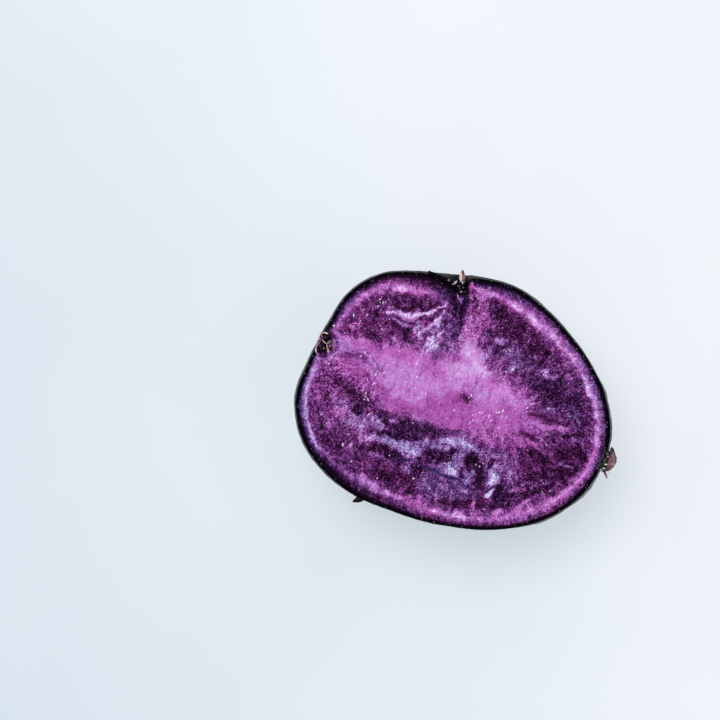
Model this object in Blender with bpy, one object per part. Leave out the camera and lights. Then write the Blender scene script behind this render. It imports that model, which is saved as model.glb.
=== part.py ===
# Half of a purple potato, cut lengthwise. It lies on its skin with the cut face up.
# The whole tuber is shaped first, then its eyes, scar and buds, and then the knife takes the top off.
# X runs from the stem end to the bud end, Y points to the eye that the knife went through, Z is up.
# The origin is the middle of the small flat spot that the half rests on.
import bpy
import bmesh
import math
from mathutils import Matrix, Vector

MM = 0.001

# Driving sizes of the half
HALF_THICKNESS = 34 * MM            # resting spot to cut face
CUT_ABOVE_MIDDLE = 6 * MM           # the knife went this far above the tuber's widest level
FLAT_SPOT_DEPTH = 0.4 * MM          # how much of the round belly the flat spot takes away
BELLY_DEPTH = HALF_THICKNESS - CUT_ABOVE_MIDDLE + FLAT_SPOT_DEPTH

# Middle of the cut face to its edge, every 15 degrees round from +X
RIM_STEP = 15
RIM_RADII_MM = (
    43.5, 40.5, 38.0, 37.0, 36.8, 36.0, 36.0, 38.0,
    41.4, 42.6, 41.6, 42.6, 44.8, 44.2, 41.6, 38.7,
    36.0, 35.4, 36.0, 38.1, 41.0, 44.0, 45.8, 45.9,
)
BELLY_POWER = 2.2                   # 2 is an ellipse, and more is a fuller flank

# Gentle swellings of the belly: direction, waves across the tuber, start angle, height
SWELLINGS = (
    ((0.9, 0.3, 0.3), 2.6, 0.4, 0.55 * MM),
    ((-0.4, 0.8, 0.4), 3.4, 1.9, 0.45 * MM),
    ((0.2, -0.5, 0.8), 4.3, 3.0, 0.40 * MM),
    ((0.7, 0.6, -0.4), 5.6, 0.9, 0.22 * MM),
)
SWELLING_FADE = 7 * MM              # they die out this near the cut, so that the rim keeps its sizes

SPHERE_SEGMENTS = 96
SPHERE_RINGS = 48

# The eye that the knife went through, at the +Y edge
NOTCH_ANGLE = 86.8                  # round from +X
NOTCH_HALF_WIDTH = 2.9 * MM
NOTCH_DEPTH = 5.0 * MM
NOTCH_REACH_DOWN = 6.5 * MM
# The skin rolls in beside it, far on the stem side and steeply on the bud side
NOTCH_SHOULDER_DEPTH = 2.9 * MM
STEM_SHOULDER_WIDTH = 7.2 * MM
BUD_SHOULDER_WIDTH = 2.7 * MM
BROAD_DIP_DEPTH = 0.6 * MM
BROAD_DIP_WIDTH = 8.5 * MM
NOTCH_SHOULDER_REACH = 4.5 * MM

# Eyes of the belly: angle round from +X, angle down from level, width across, turn of the brow
BELLY_EYES = (
    (15, 34, 8.4 * MM, 8),
    (318, 24, 7.6 * MM, -10),
    (287, 47, 8.8 * MM, 12),
    (232, 27, 7.8 * MM, -6),
    (196, 52, 7.2 * MM, 4),
    (128, 33, 8.6 * MM, -12),
    (62, 55, 8.0 * MM, 6),
    (352, 58, 7.0 * MM, -8),
)
EYE_DEPTH = 1.5 * MM
EYE_LENGTH_SHARE = 0.60             # along the tuber, as a share of the width across
EYE_TILT = 16                       # the stem side of an eye is steep, and its bud side fades out
EYE_BUD_SHARE = 0.14                # radius of the bud in an eye, as a share of the eye's width

# The stolon scar at the stem end, a broken ring of cork round a hollow
SCAR_ANGLE = 156
SCAR_RING_RADIUS = 2.5 * MM
SCAR_CORK_RADIUS = 0.75 * MM
SCAR_RING_SQUEEZE = 0.8             # across the edge, as a share of its size along the edge
SCAR_HOLLOW = (2.0 * MM, 2.3 * MM, 2.6 * MM)        # out, along the edge and down, as half sizes
SCAR_BELOW_CUT = 1.0 * MM
SCAR_SET_IN = 1.9 * MM              # the ring's middle lies this far inside the edge
SCAR_TILT = 20                      # the ring lies in the cut and leans out of the stem end

# The bud at the other end: scale leaves on a low cushion
END_BUD_ANGLE = 338.5
END_BUD_BELOW_CUT = 3.0 * MM
END_BUD_CUSHION = (2.3 * MM, 4.2 * MM, 3.4 * MM)    # out, across and up, as half sizes
# Scale leaves: offset across, offset up, half length, half width, lean across in degrees
END_BUD_SCALES = (
    (-2.6 * MM, 0.4 * MM, 2.1 * MM, 1.3 * MM, -34),
    (-0.9 * MM, 1.2 * MM, 2.6 * MM, 1.6 * MM, -12),
    (0.9 * MM, -0.2 * MM, 2.7 * MM, 1.7 * MM, 8),
    (2.3 * MM, 0.9 * MM, 2.0 * MM, 1.3 * MM, 30),
    (-1.6 * MM, -2.1 * MM, 2.2 * MM, 1.5 * MM, -20),
    (1.4 * MM, -2.4 * MM, 2.1 * MM, 1.4 * MM, 18),
)
SCALE_THICKNESS = 0.9 * MM
ROOT_TIP_LENGTH = 1.5 * MM
ROOT_TIP_RADIUS = 0.6 * MM

# The pale bud in the cut eye: two scales side by side
CUT_BUD_BASE = (2.7 * MM, 33.6 * MM)
CUT_BUD_LENGTH = 3.8 * MM
CUT_BUD_WIDTH = 2.1 * MM
CUT_BUD_BELOW_CUT = 1.5 * MM

# The torn flap of skin on the edge, seen at the lower left
FLAP_ROOT = (-25.0 * MM, -27.7 * MM)
FLAP_TIP = (-28.7 * MM, -28.9 * MM)
FLAP_THICKNESS = 0.9 * MM
FLAP_BELOW_CUT = 0.9 * MM

SKIN_COLOUR = (0.030, 0.016, 0.045, 1)
FLESH_COLOUR = (0.190, 0.032, 0.215, 1)


def clear_scene():
    for obj in list(bpy.data.objects):
        bpy.data.objects.remove(obj, do_unlink=True)


def new_collection(name):
    collection = bpy.data.collections.new(name)
    bpy.context.scene.collection.children.link(collection)
    return collection


def add_object(name, bm, collection):
    mesh = bpy.data.meshes.new(name)
    bm.to_mesh(mesh)
    bm.free()
    obj = bpy.data.objects.new(name, mesh)
    collection.objects.link(obj)
    return obj


def rim_radius(angle):
    """Edge of the cut face at an angle in radians: a smooth closed curve through RIM_RADII_MM."""
    count = len(RIM_RADII_MM)
    place = math.degrees(angle) % 360 / RIM_STEP
    index = int(place)
    t = place - index
    before, start, end, after = (RIM_RADII_MM[(index + n) % count] for n in (-1, 0, 1, 2))
    curve = 2 * start + (end - before) * t
    curve += (2 * before - 5 * start + 4 * end - after) * t ** 2
    curve += (3 * start - before - 3 * end + after) * t ** 3
    return curve / 2 * MM


def belly_share(level):
    """How much of the rim radius is left at a level, counted from the tuber's widest one."""
    return max(0.0, 1 - abs(level / BELLY_DEPTH) ** BELLY_POWER) ** (1 / BELLY_POWER)


def shoulder_dip(angle, level):
    """How far the skin rolls in beside the cut eye."""
    away = (angle - math.radians(NOTCH_ANGLE) + math.pi) % math.tau - math.pi
    arc = away * rim_radius(angle)
    below = CUT_ABOVE_MIDDLE - level
    if arc > 0:
        fall = math.exp(-(arc / STEM_SHOULDER_WIDTH) ** 2)
    else:
        fall = math.exp(-(arc / BUD_SHOULDER_WIDTH) ** 4)
    dip = NOTCH_SHOULDER_DEPTH * fall + BROAD_DIP_DEPTH * math.exp(-(arc / BROAD_DIP_WIDTH) ** 2)
    return dip * math.exp(-(below / NOTCH_SHOULDER_REACH) ** 2)


def swelling(direction, level):
    """The belly's slow unevenness, which fades out near the cut."""
    height = 0
    for axis, waves, start, size in SWELLINGS:
        height += size * math.sin(waves * direction.dot(Vector(axis)) + start)
    below = max(0.0, CUT_ABOVE_MIDDLE - level)
    return height * (1 - math.exp(-(below / SWELLING_FADE) ** 2))


def tuber_surface(direction):
    """The tuber's skin in a direction from its middle, before the flat spot and the cut."""
    level_share = math.copysign(abs(direction.z) ** (2 / BELLY_POWER), direction.z)
    level = BELLY_DEPTH * level_share
    angle = math.atan2(direction.y, direction.x)
    radius = rim_radius(angle) / belly_share(CUT_ABOVE_MIDDLE) * belly_share(level)
    radius -= shoulder_dip(angle, level) * belly_share(level)
    place = Vector((radius * math.cos(angle), radius * math.sin(angle), level))
    return place + direction * swelling(direction, level)


def to_row(place):
    """From the tuber's middle to the origin at the resting spot."""
    return place + Vector((0, 0, HALF_THICKNESS - CUT_ABOVE_MIDDLE))


def skin_at(angle, down):
    """A point of the skin and its outward direction, from two angles in degrees."""
    flat = Vector((math.cos(math.radians(angle)), math.sin(math.radians(angle)), 0))
    direction = flat * math.cos(math.radians(down)) - Vector((0, 0, math.sin(math.radians(down))))
    step = 0.01
    side = Vector((-flat.y, flat.x, 0)) * step
    lift = direction.cross(side)
    here = tuber_surface(direction)
    round_way = tuber_surface((direction + side).normalized()) - here
    up_way = tuber_surface((direction + lift).normalized()) - here
    normal = round_way.cross(up_way).normalized()
    if normal.dot(here) < 0:
        normal.negate()
    return to_row(here), normal


def frame_at(place, normal, towards):
    """A matrix with its Z along normal and its X as near as can be to a direction."""
    x_axis = (towards - normal * towards.dot(normal)).normalized()
    y_axis = normal.cross(x_axis)
    turn = Matrix((x_axis, y_axis, normal)).transposed().to_4x4()
    return Matrix.Translation(place) @ turn


def rim_frame(angle, below, set_in=0):
    """At the edge of the cut face: X outwards, Y round the edge, Z up."""
    turn = math.radians(angle)
    radius = rim_radius(turn) - set_in
    place = Vector((radius * math.cos(turn), radius * math.sin(turn), HALF_THICKNESS - below))
    return Matrix.Translation(place) @ Matrix.Rotation(turn, 4, "Z")


def ellipsoid(name, matrix, half_sizes, collection, segments=14, rings=8):
    bm = bmesh.new()
    bmesh.ops.create_uvsphere(bm, u_segments=segments, v_segments=rings, radius=1)
    bmesh.ops.transform(bm, matrix=matrix @ Matrix.Diagonal((*half_sizes, 1)), verts=bm.verts)
    return add_object(name, bm, collection)


def pointed_scale(name, matrix, length, width, thickness, collection):
    """A scale leaf or bud: a ball drawn out along X, whose end comes to a point."""
    bm = bmesh.new()
    bmesh.ops.create_uvsphere(bm, u_segments=12, v_segments=8, radius=1)
    bmesh.ops.rotate(bm, matrix=Matrix.Rotation(math.pi / 2, 3, "Y"), verts=bm.verts)
    for vert in bm.verts:
        along = vert.co.x
        point = 1 - 0.55 * max(0.0, along) ** 1.5
        vert.co = Vector((along * length, vert.co.y * width * point, vert.co.z * thickness * point))
    bmesh.ops.transform(bm, matrix=matrix, verts=bm.verts)
    return add_object(name, bm, collection)


def make_tuber(collection):
    bm = bmesh.new()
    bmesh.ops.create_uvsphere(bm, u_segments=SPHERE_SEGMENTS, v_segments=SPHERE_RINGS, radius=1)
    for vert in bm.verts:
        vert.co = to_row(tuber_surface(vert.co.normalized()))
    return add_object("potato_half", bm, collection)


def belly_eye_frame(angle, down, turn):
    """On the skin: Z outwards, X towards the bud end, turned a little about Z."""
    place, normal = skin_at(angle, down)
    return frame_at(place, normal, Vector((1, 0, 0))) @ Matrix.Rotation(math.radians(turn), 4, "Z")


def make_hollows(collection):
    """The eyes' pits, the slit of the cut eye and the hollow in the stolon scar."""
    for number, (angle, down, width, turn) in enumerate(BELLY_EYES):
        matrix = belly_eye_frame(angle, down, turn)
        matrix = matrix @ Matrix.Rotation(math.radians(-EYE_TILT), 4, "Y")
        half = (width * EYE_LENGTH_SHARE / 2, width / 2, EYE_DEPTH)
        ellipsoid(f"eye_pit_{number}", matrix, half, collection, 18, 10)
    notch = rim_frame(NOTCH_ANGLE, 0)
    half = (NOTCH_DEPTH, NOTCH_HALF_WIDTH, NOTCH_REACH_DOWN)
    ellipsoid("cut_eye_slit", notch, half, collection, 24, 16)
    scar = rim_frame(SCAR_ANGLE, SCAR_BELOW_CUT, SCAR_SET_IN)
    ellipsoid("scar_hollow", scar, SCAR_HOLLOW, collection, 16, 10)


def make_scar(collection):
    """A ring of cork that lies round the hollow and leans out of the stem end."""
    bpy.ops.mesh.primitive_torus_add(
        major_segments=22, minor_segments=8,
        major_radius=SCAR_RING_RADIUS, minor_radius=SCAR_CORK_RADIUS,
    )
    ring = bpy.context.object
    ring.name = "scar_ring"
    for other in ring.users_collection:
        other.objects.unlink(ring)
    collection.objects.link(ring)
    lean = Matrix.Rotation(math.radians(SCAR_TILT), 4, "Y") @ Matrix.Diagonal((SCAR_RING_SQUEEZE, 1, 1, 1))
    ring.data.transform(rim_frame(SCAR_ANGLE, SCAR_BELOW_CUT, SCAR_SET_IN) @ lean)


def make_end_bud(collection):
    """Scale leaves in two rows on a cushion, with a short root tip beside them."""
    bud = rim_frame(END_BUD_ANGLE, END_BUD_BELOW_CUT)
    ellipsoid("end_bud_cushion", bud, END_BUD_CUSHION, collection, 16, 10)
    for number, (across, up, length, width, lean) in enumerate(END_BUD_SCALES):
        place = Matrix.Translation((0.9 * MM, across, up))
        matrix = bud @ place @ Matrix.Rotation(math.radians(lean), 4, "Z")
        pointed_scale(f"end_bud_scale_{number}", matrix, length, width, SCALE_THICKNESS, collection)
    tip = Matrix.Translation((2.5 * MM, -3.8 * MM, -0.6 * MM)) @ Matrix.Rotation(math.radians(-55), 4, "Z")
    pointed_scale("root_tip", bud @ tip, ROOT_TIP_LENGTH, ROOT_TIP_RADIUS, ROOT_TIP_RADIUS, collection)


def make_cut_bud(collection):
    """The pale bud: two scales that lie side by side and point out of the cut eye."""
    level = HALF_THICKNESS - CUT_BUD_BELOW_CUT
    cushion = Matrix.Translation((CUT_BUD_BASE[0] - 0.4 * MM, CUT_BUD_BASE[1] - 1.9 * MM, level))
    ellipsoid("cut_bud_cushion", cushion, (2.0 * MM, 2.9 * MM, 1.3 * MM), collection)
    for side in (-1, 1):
        place = (CUT_BUD_BASE[0] + side * CUT_BUD_WIDTH / 5, CUT_BUD_BASE[1] + CUT_BUD_LENGTH / 2, level)
        matrix = Matrix.Translation(place) @ Matrix.Rotation(math.radians(90 + 6 * side), 4, "Z")
        half_width = CUT_BUD_WIDTH * 0.33
        pointed_scale(f"cut_bud_scale_{side}", matrix, CUT_BUD_LENGTH / 2, half_width, 0.8 * MM, collection)


def make_eye_buds(collection):
    for number, (angle, down, width, turn) in enumerate(BELLY_EYES):
        matrix = belly_eye_frame(angle, down, turn) @ Matrix.Translation((0, 0, -EYE_DEPTH))
        radius = width * EYE_BUD_SHARE
        half = (radius, radius * 1.3, radius)
        ellipsoid(f"eye_bud_{number}", matrix, half, collection, 10, 6)


def make_flap(collection):
    """A sliver of skin that the knife tore loose and left pointing out."""
    root = Vector((*FLAP_ROOT, HALF_THICKNESS - FLAP_BELOW_CUT))
    tip = Vector((*FLAP_TIP, HALF_THICKNESS - FLAP_BELOW_CUT))
    along = tip - root
    matrix = frame_at(root, Vector((0, 0, 1)), along)
    pointed_scale("skin_flap", matrix, along.length, 1.0 * MM, FLAP_THICKNESS, collection)


def make_flat_cuts(collection):
    """The knife takes what is above the cut face, and the table what is below the resting spot."""
    side = 200 * MM
    for name, middle in (("knife", HALF_THICKNESS + side / 2), ("table", -side / 2)):
        bm = bmesh.new()
        bmesh.ops.create_cube(bm, size=side)
        bmesh.ops.translate(bm, vec=(0, 0, middle), verts=bm.verts)
        add_object(name, bm, collection)


def boolean_step(obj, operation, collection):
    """Cuts or joins a whole collection, keeps the result and removes the collection's objects."""
    for helper in collection.objects:
        helper.hide_render = True
        helper.display_type = "WIRE"
    modifier = obj.modifiers.new(collection.name, "BOOLEAN")
    modifier.operand_type = "COLLECTION"
    modifier.collection = collection
    modifier.operation = operation
    modifier.solver = "EXACT"
    bpy.context.view_layer.update()
    evaluated = obj.evaluated_get(bpy.context.evaluated_depsgraph_get())
    result = bpy.data.meshes.new_from_object(evaluated)
    obj.modifiers.clear()
    obj.data = result
    for helper in list(collection.objects):
        bpy.data.objects.remove(helper, do_unlink=True)
    bpy.data.collections.remove(collection)


def tissue_material(name, colour, roughness):
    material = bpy.data.materials.new(name)
    material.use_nodes = True
    shader = material.node_tree.nodes["Principled BSDF"]
    shader.inputs["Base Color"].default_value = colour
    shader.inputs["Roughness"].default_value = roughness
    material.diffuse_color = colour
    return material


def colour_tuber(tuber):
    """Skin all round, and flesh on the faces that the knife made."""
    tuber.data.materials.clear()
    tuber.data.materials.append(tissue_material("dark skin", SKIN_COLOUR, 0.55))
    tuber.data.materials.append(tissue_material("purple flesh", FLESH_COLOUR, 0.40))
    for face in tuber.data.polygons:
        on_cut = face.normal.z > 0.99 and face.center.z > HALF_THICKNESS - 0.1 * MM
        face.material_index = 1 if on_cut else 0


def main():
    clear_scene()
    potato = new_collection("purple potato half")
    tuber = make_tuber(potato)

    hollows = new_collection("hollows")
    make_hollows(hollows)
    boolean_step(tuber, "DIFFERENCE", hollows)

    growths = new_collection("growths")
    make_scar(growths)
    make_end_bud(growths)
    make_cut_bud(growths)
    make_eye_buds(growths)
    make_flap(growths)
    boolean_step(tuber, "UNION", growths)

    flat_cuts = new_collection("flat cuts")
    make_flat_cuts(flat_cuts)
    boolean_step(tuber, "DIFFERENCE", flat_cuts)

    colour_tuber(tuber)
    tuber.data.shade_smooth()
    tuber.data.set_sharp_from_angle(angle=math.radians(35))


main()
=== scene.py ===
import bpy
import math
import numpy as np
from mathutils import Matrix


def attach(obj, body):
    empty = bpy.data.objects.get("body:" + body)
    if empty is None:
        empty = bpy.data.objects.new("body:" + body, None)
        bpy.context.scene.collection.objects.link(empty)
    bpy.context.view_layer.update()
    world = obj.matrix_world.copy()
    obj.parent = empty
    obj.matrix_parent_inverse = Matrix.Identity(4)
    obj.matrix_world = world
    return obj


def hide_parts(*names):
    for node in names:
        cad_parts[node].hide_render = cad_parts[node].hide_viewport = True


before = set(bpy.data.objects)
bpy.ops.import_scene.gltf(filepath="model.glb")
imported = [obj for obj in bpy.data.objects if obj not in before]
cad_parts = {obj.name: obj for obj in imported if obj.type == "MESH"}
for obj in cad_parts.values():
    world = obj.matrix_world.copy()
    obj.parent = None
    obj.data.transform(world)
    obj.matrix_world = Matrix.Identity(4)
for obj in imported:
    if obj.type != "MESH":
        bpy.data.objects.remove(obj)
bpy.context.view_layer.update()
mm = 0.001
print("frame loaded")


# Shapes shared by all the pieces

# The half tuber in millimetres, as in its solid: X to the bud end, Y to the cut eye, Z up from the rest
tuber = {
    "thickness": 34.0,
    "cutAboveMiddle": 6.0,
    "flatSpotDepth": 0.4,
    "rimStep": 15.0,
    "rimRadii": (
        43.5, 40.5, 38.0, 37.0, 36.8, 36.0, 36.0, 38.0,
        41.4, 42.6, 41.6, 42.6, 44.8, 44.2, 41.6, 38.7,
        36.0, 35.4, 36.0, 38.1, 41.0, 44.0, 45.8, 45.9,
    ),
    "bellyPower": 2.2,
    "swellings": (
        ((0.9, 0.3, 0.3), 2.6, 0.4, 0.55),
        ((-0.4, 0.8, 0.4), 3.4, 1.9, 0.45),
        ((0.2, -0.5, 0.8), 4.3, 3.0, 0.40),
        ((0.7, 0.6, -0.4), 5.6, 0.9, 0.22),
    ),
    "swellingFade": 7.0,
    "notchAngle": 86.8,
    "shoulderDepth": 2.9,      # the cut eye's basin is wide on the stem side and steep on the bud side
    "stemShoulderWidth": 7.2,
    "budShoulderWidth": 2.7,
    "broadDepth": 0.6,
    "broadWidth": 8.5,
    "shoulderReach": 4.5,
    "slitSize": (5.0, 2.9, 6.5),
    "scarAngle": 156.0,
    "scarSetIn": 1.9,
    "scarBelow": 1.0,
    "scarSize": (2.0, 2.3, 2.6),
    "columnsPerDent": 2.6,     # columns stand this much closer together at the notch and the scar
    "dentSpread": 6.0,
}
bellyDepth = tuber["thickness"] - tuber["cutAboveMiddle"] + tuber["flatSpotDepth"]


def throughFour(before, start, end, after, t):
    # A cubic from start to end, with its slopes from the neighbours
    curve = 2 * start + (end - before) * t + (2 * before - 5 * start + 4 * end - after) * t ** 2
    return (curve + (3 * start - before - 3 * end + after) * t ** 3) / 2


def eased(t):
    return t * t * (3 - 2 * t)


def rimRadius(angle):
    # Edge of the cut face: a closed cubic curve through the four nearest radii
    radii = np.array(tuber["rimRadii"])
    place = np.degrees(angle) % 360 / tuber["rimStep"]
    index = np.floor(place).astype(int)
    return throughFour(*(radii[(index + n) % len(radii)] for n in (-1, 0, 1, 2)), place - index)


def angleFrom(angle, centreDegrees):
    return (angle - math.radians(centreDegrees) + math.pi) % math.tau - math.pi


def dents(angle, below):
    # Inward push of the outline by the arc away from the eye: a lopsided basin, exp(-(arc/7.2)^2) on the
    # stem side and exp(-(arc/2.7)^4) on the other, or an oval slit where that is deeper; and the scar's pit
    radius = rimRadius(angle)
    arc = angleFrom(angle, tuber["notchAngle"]) * radius
    stemSide = np.exp(-(arc / tuber["stemShoulderWidth"]) ** 2)
    budSide = np.exp(-(arc / tuber["budShoulderWidth"]) ** 4)
    basin = tuber["shoulderDepth"] * np.where(arc > 0, stemSide, budSide)
    basin = basin + tuber["broadDepth"] * np.exp(-(arc / tuber["broadWidth"]) ** 2)
    basin = basin * np.exp(-(below / tuber["shoulderReach"]) ** 2)
    deep, long, tall = tuber["slitSize"]
    slit = deep * np.sqrt(np.maximum(0, 1 - (arc / long) ** 2 - (below / tall) ** 2))
    deep, long, tall = tuber["scarSize"]
    arc = angleFrom(angle, tuber["scarAngle"]) * radius
    inside = np.maximum(0, 1 - (arc / long) ** 2 - ((below - tuber["scarBelow"]) / tall) ** 2)
    pit = (tuber["scarSetIn"] + deep * np.sqrt(inside)) * np.minimum(1, 4 * inside)
    return np.maximum(basin, slit) + pit


def outlineRadius(angle):
    return rimRadius(angle) - dents(angle, 0 * angle)


def cutDown(below=0.0):
    # The angle down from level at which the surface is this far below the cut
    share = (tuber["cutAboveMiddle"] - below) / bellyDepth
    return -math.asin(math.copysign(abs(share) ** (tuber["bellyPower"] / 2), share))


def directions(angle, down):
    flat = np.cos(down)
    return np.stack([flat * np.cos(angle), flat * np.sin(angle), -np.sin(down) + 0 * angle], -1)


def tuberSurface(angle, down):
    # Rim radius times a belly curve in height, less the dents, plus slow sine swellings that fade to the cut
    power = tuber["bellyPower"]
    drop = -np.sin(down)
    levelShare = np.sign(drop) * np.abs(drop) ** (2 / power)
    level = bellyDepth * levelShare
    share = np.maximum(0, 1 - drop ** 2) ** (1 / power)
    cutShare = (1 - (tuber["cutAboveMiddle"] / bellyDepth) ** power) ** (1 / power)
    below = tuber["cutAboveMiddle"] - level
    away = directions(angle, down)
    swell = 0
    for axis, waves, start, size in tuber["swellings"]:
        swell = swell + size * np.sin(waves * (away @ np.array(axis)) + start)
    swell = swell * (1 - np.exp(-(np.maximum(0, below) / tuber["swellingFade"]) ** 2))
    radius = rimRadius(angle) / cutShare * share - dents(angle, below)
    points = np.stack([radius * np.cos(angle), radius * np.sin(angle), level + 0 * angle], -1)
    points = points + away * swell[..., None]
    points[..., 2] += tuber["thickness"] - tuber["cutAboveMiddle"]
    return points


def closeColumns(shares):
    # Shares of a turn to angles, with more columns near the notch and the scar
    angles = np.linspace(0, math.tau, 3601)
    density = np.ones_like(angles)
    for centre in (tuber["notchAngle"], tuber["scarAngle"]):
        away = np.degrees(angleFrom(angles, centre))
        density += tuber["columnsPerDent"] * np.exp(-(away / tuber["dentSpread"]) ** 2)
    total = np.concatenate([[0], np.cumsum((density[1:] + density[:-1]) / 2)])
    return np.interp(shares % 1, total / total[-1], angles)


def solidNoise(points, size, seed):
    # Random heights on a cubic lattice, turned askew and eased between; 0 to 1
    count, startFarOut = 32, 512.37
    table = np.random.default_rng(seed).random((count, count, count))
    turned = points @ np.array([[0.80, 0.36, -0.48], [-0.60, 0.48, -0.64], [0, 0.80, 0.60]])
    place = turned / size + startFarOut + seed
    cell = np.floor(place).astype(int)
    t = eased(place - cell)
    total = 0
    for cx, cy, cz in np.ndindex(2, 2, 2):
        height = table[(cell[..., 0] + cx) % count, (cell[..., 1] + cy) % count, (cell[..., 2] + cz) % count]
        weight = (t[..., 0] if cx else 1 - t[..., 0]) * (t[..., 1] if cy else 1 - t[..., 1])
        total = total + height * weight * (t[..., 2] if cz else 1 - t[..., 2])
    return total


def cloudNoise(points, size, octaves, seed):
    # A few octaves of the lattice noise, each half the size and a little over half the height; -1 to 1
    total, weight, sumOfWeights = 0, 1.0, 0.0
    for octave in range(octaves):
        total = total + weight * (2 * solidNoise(points, size / 2 ** octave, seed + octave) - 1)
        sumOfWeights += weight
        weight *= 0.58
    return total / sumOfWeights * 1.5


def flatPoints(x, y):
    return np.stack([x, y, 0 * x], -1)


def gridQuads(index):
    # Quads between neighbouring rows and columns of point numbers
    return np.stack([index[:-1, :-1], index[1:, :-1], index[1:, 1:], index[:-1, 1:]], -1).reshape(-1, 4)


def loft(rings):
    # Quads between neighbouring closed rings, and a fan onto the middle of each end ring
    count, around = rings.shape[:2]
    points = np.vstack([rings.reshape(-1, 3), rings[0].mean(0)[None], rings[-1].mean(0)[None]])
    row = np.arange(count - 1)[:, None] * around
    here = np.arange(around)[None]
    after = (here + 1) % around
    quads = np.stack([row + here, row + after, row + around + after, row + around + here], -1).reshape(-1, 4)
    here, after, last = here[0], after[0], (count - 1) * around
    first = np.stack([after, here, np.full(around, count * around)], -1)
    end = np.stack([last + here, last + after, np.full(around, count * around + 1)], -1)
    return outward(points, quads, np.vstack([first, end]))


def outward(points, quads, triangles):
    # Turns the faces round where the enclosed volume comes out negative
    split = np.vstack([triangles, quads[:, :3], quads[:, [0, 2, 3]]])
    a, b, c = points[split[:, 0]], points[split[:, 1]], points[split[:, 2]]
    if np.einsum("ij,ij->i", a, np.cross(b, c)).sum() < 0:
        quads, triangles = quads[:, ::-1], triangles[:, ::-1]
    return points, quads, triangles


def joinShapes(shapes):
    # One list of points, quads and triangles from many closed shapes
    points, quads, triangles, start = [], [], [], 0
    for shape in shapes:
        points.append(shape[0])
        quads.append(shape[1] + start)
        triangles.append(shape[2] + start)
        start += len(shape[0])
    return np.vstack(points), np.vstack(quads), np.vstack(triangles)


def makePiece(name, shape, material, marks, sharpDegrees=60):
    # Millimetres to metres, smooth faces, and each mark as a point attribute
    points, quads, triangles = shape
    mesh = bpy.data.meshes.new(name)
    mesh.from_pydata((points * mm).tolist(), [], quads.tolist() + triangles.tolist())
    mesh.update()
    for markName, values in marks.items():
        isVector = values.ndim == 2
        layer = mesh.attributes.new(markName, "FLOAT_VECTOR" if isVector else "FLOAT", "POINT")
        layer.data.foreach_set("vector" if isVector else "value", values.astype(np.float32).ravel())
    mesh.shade_smooth()
    mesh.set_sharp_from_angle(angle=math.radians(sharpDegrees))
    mesh.materials.append(material)
    piece = bpy.data.objects.new(name, mesh)
    bpy.context.scene.collection.objects.link(piece)
    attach(piece, "root")
    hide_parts("potato_half")
    print(f"{name}: {len(quads) * 2 + len(triangles)} triangles")


def unit(vector):
    return vector / np.linalg.norm(vector)


def leafShape(base, tip, up, width, thickness, curl=0.0, cup=0.0, rows=16, around=12, blunt=0.8):
    # An oval cross-section carried from base to tip, its size sin(pi t^blunt), bent up by t^2 and cupped
    base, tip, up = (np.array(v, float) for v in (base, tip, up))
    length = np.linalg.norm(tip - base)
    along = unit(tip - base)
    lift = unit(up - along * (up @ along))
    side = np.cross(lift, along)
    t = np.linspace(0.015, 0.985, rows)[:, None, None]
    turn = np.linspace(0, math.tau, around, endpoint=False)[None, :, None]
    size = np.sin(math.pi * t ** blunt) ** 0.75
    across = width / 2 * size * np.cos(turn)
    height = thickness / 2 * size * np.sin(turn) + curl * length * t ** 2 - cup * across ** 2 / width
    return loft(base + along * length * t + side * across + lift * height)


def smoothPath(points, count):
    # A cubic through each point in turn
    points = np.array(points, float)
    padded = np.vstack([2 * points[0] - points[1], points, 2 * points[-1] - points[-2]])
    place = np.linspace(0, len(points) - 1, count)
    index = np.minimum(place.astype(int), len(points) - 2)
    return throughFour(*(padded[index + n] for n in (0, 1, 2, 3)), (place - index)[:, None])


def ridgeShape(points, widths, flatness, seed=0, steps=24, around=10, rough=0.15):
    # An oval carried along a smooth path, with uneven width, rounded off at both ends
    path = smoothPath(points, steps)
    t = np.linspace(0, 1, steps)
    width = np.interp(t, np.linspace(0, 1, len(widths)), widths)
    width = width * np.sqrt(np.clip(1 - (2 * t - 1) ** 8, 0.02, 1))
    tangent = np.gradient(path, axis=0)
    tangent /= np.linalg.norm(tangent, axis=1)[:, None]
    side = np.cross(tangent, [0.0, 0.0, 1.0])
    side /= np.maximum(np.linalg.norm(side, axis=1), 1e-6)[:, None]
    lift = np.cross(side, tangent)
    turn = np.linspace(0, math.tau, around, endpoint=False)
    c, s = np.cos(turn)[None, :, None], np.sin(turn)[None, :, None]
    ring = side[:, None] * c + lift[:, None] * flatness * s
    points = path[:, None] + ring * width[:, None, None] / 2
    return loft(points + ring * rough * cloudNoise(points, 0.6, 2, seed)[..., None])


def roundTemplate(rows, around):
    # A unit ball as rings between two poles
    t = np.linspace(0, math.pi, rows + 2)[1:-1, None]
    turn = np.linspace(0, math.tau, around, endpoint=False)[None]
    return np.stack([np.sin(t) * np.cos(turn), np.sin(t) * np.sin(turn), np.cos(t) + 0 * turn], -1)


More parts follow.
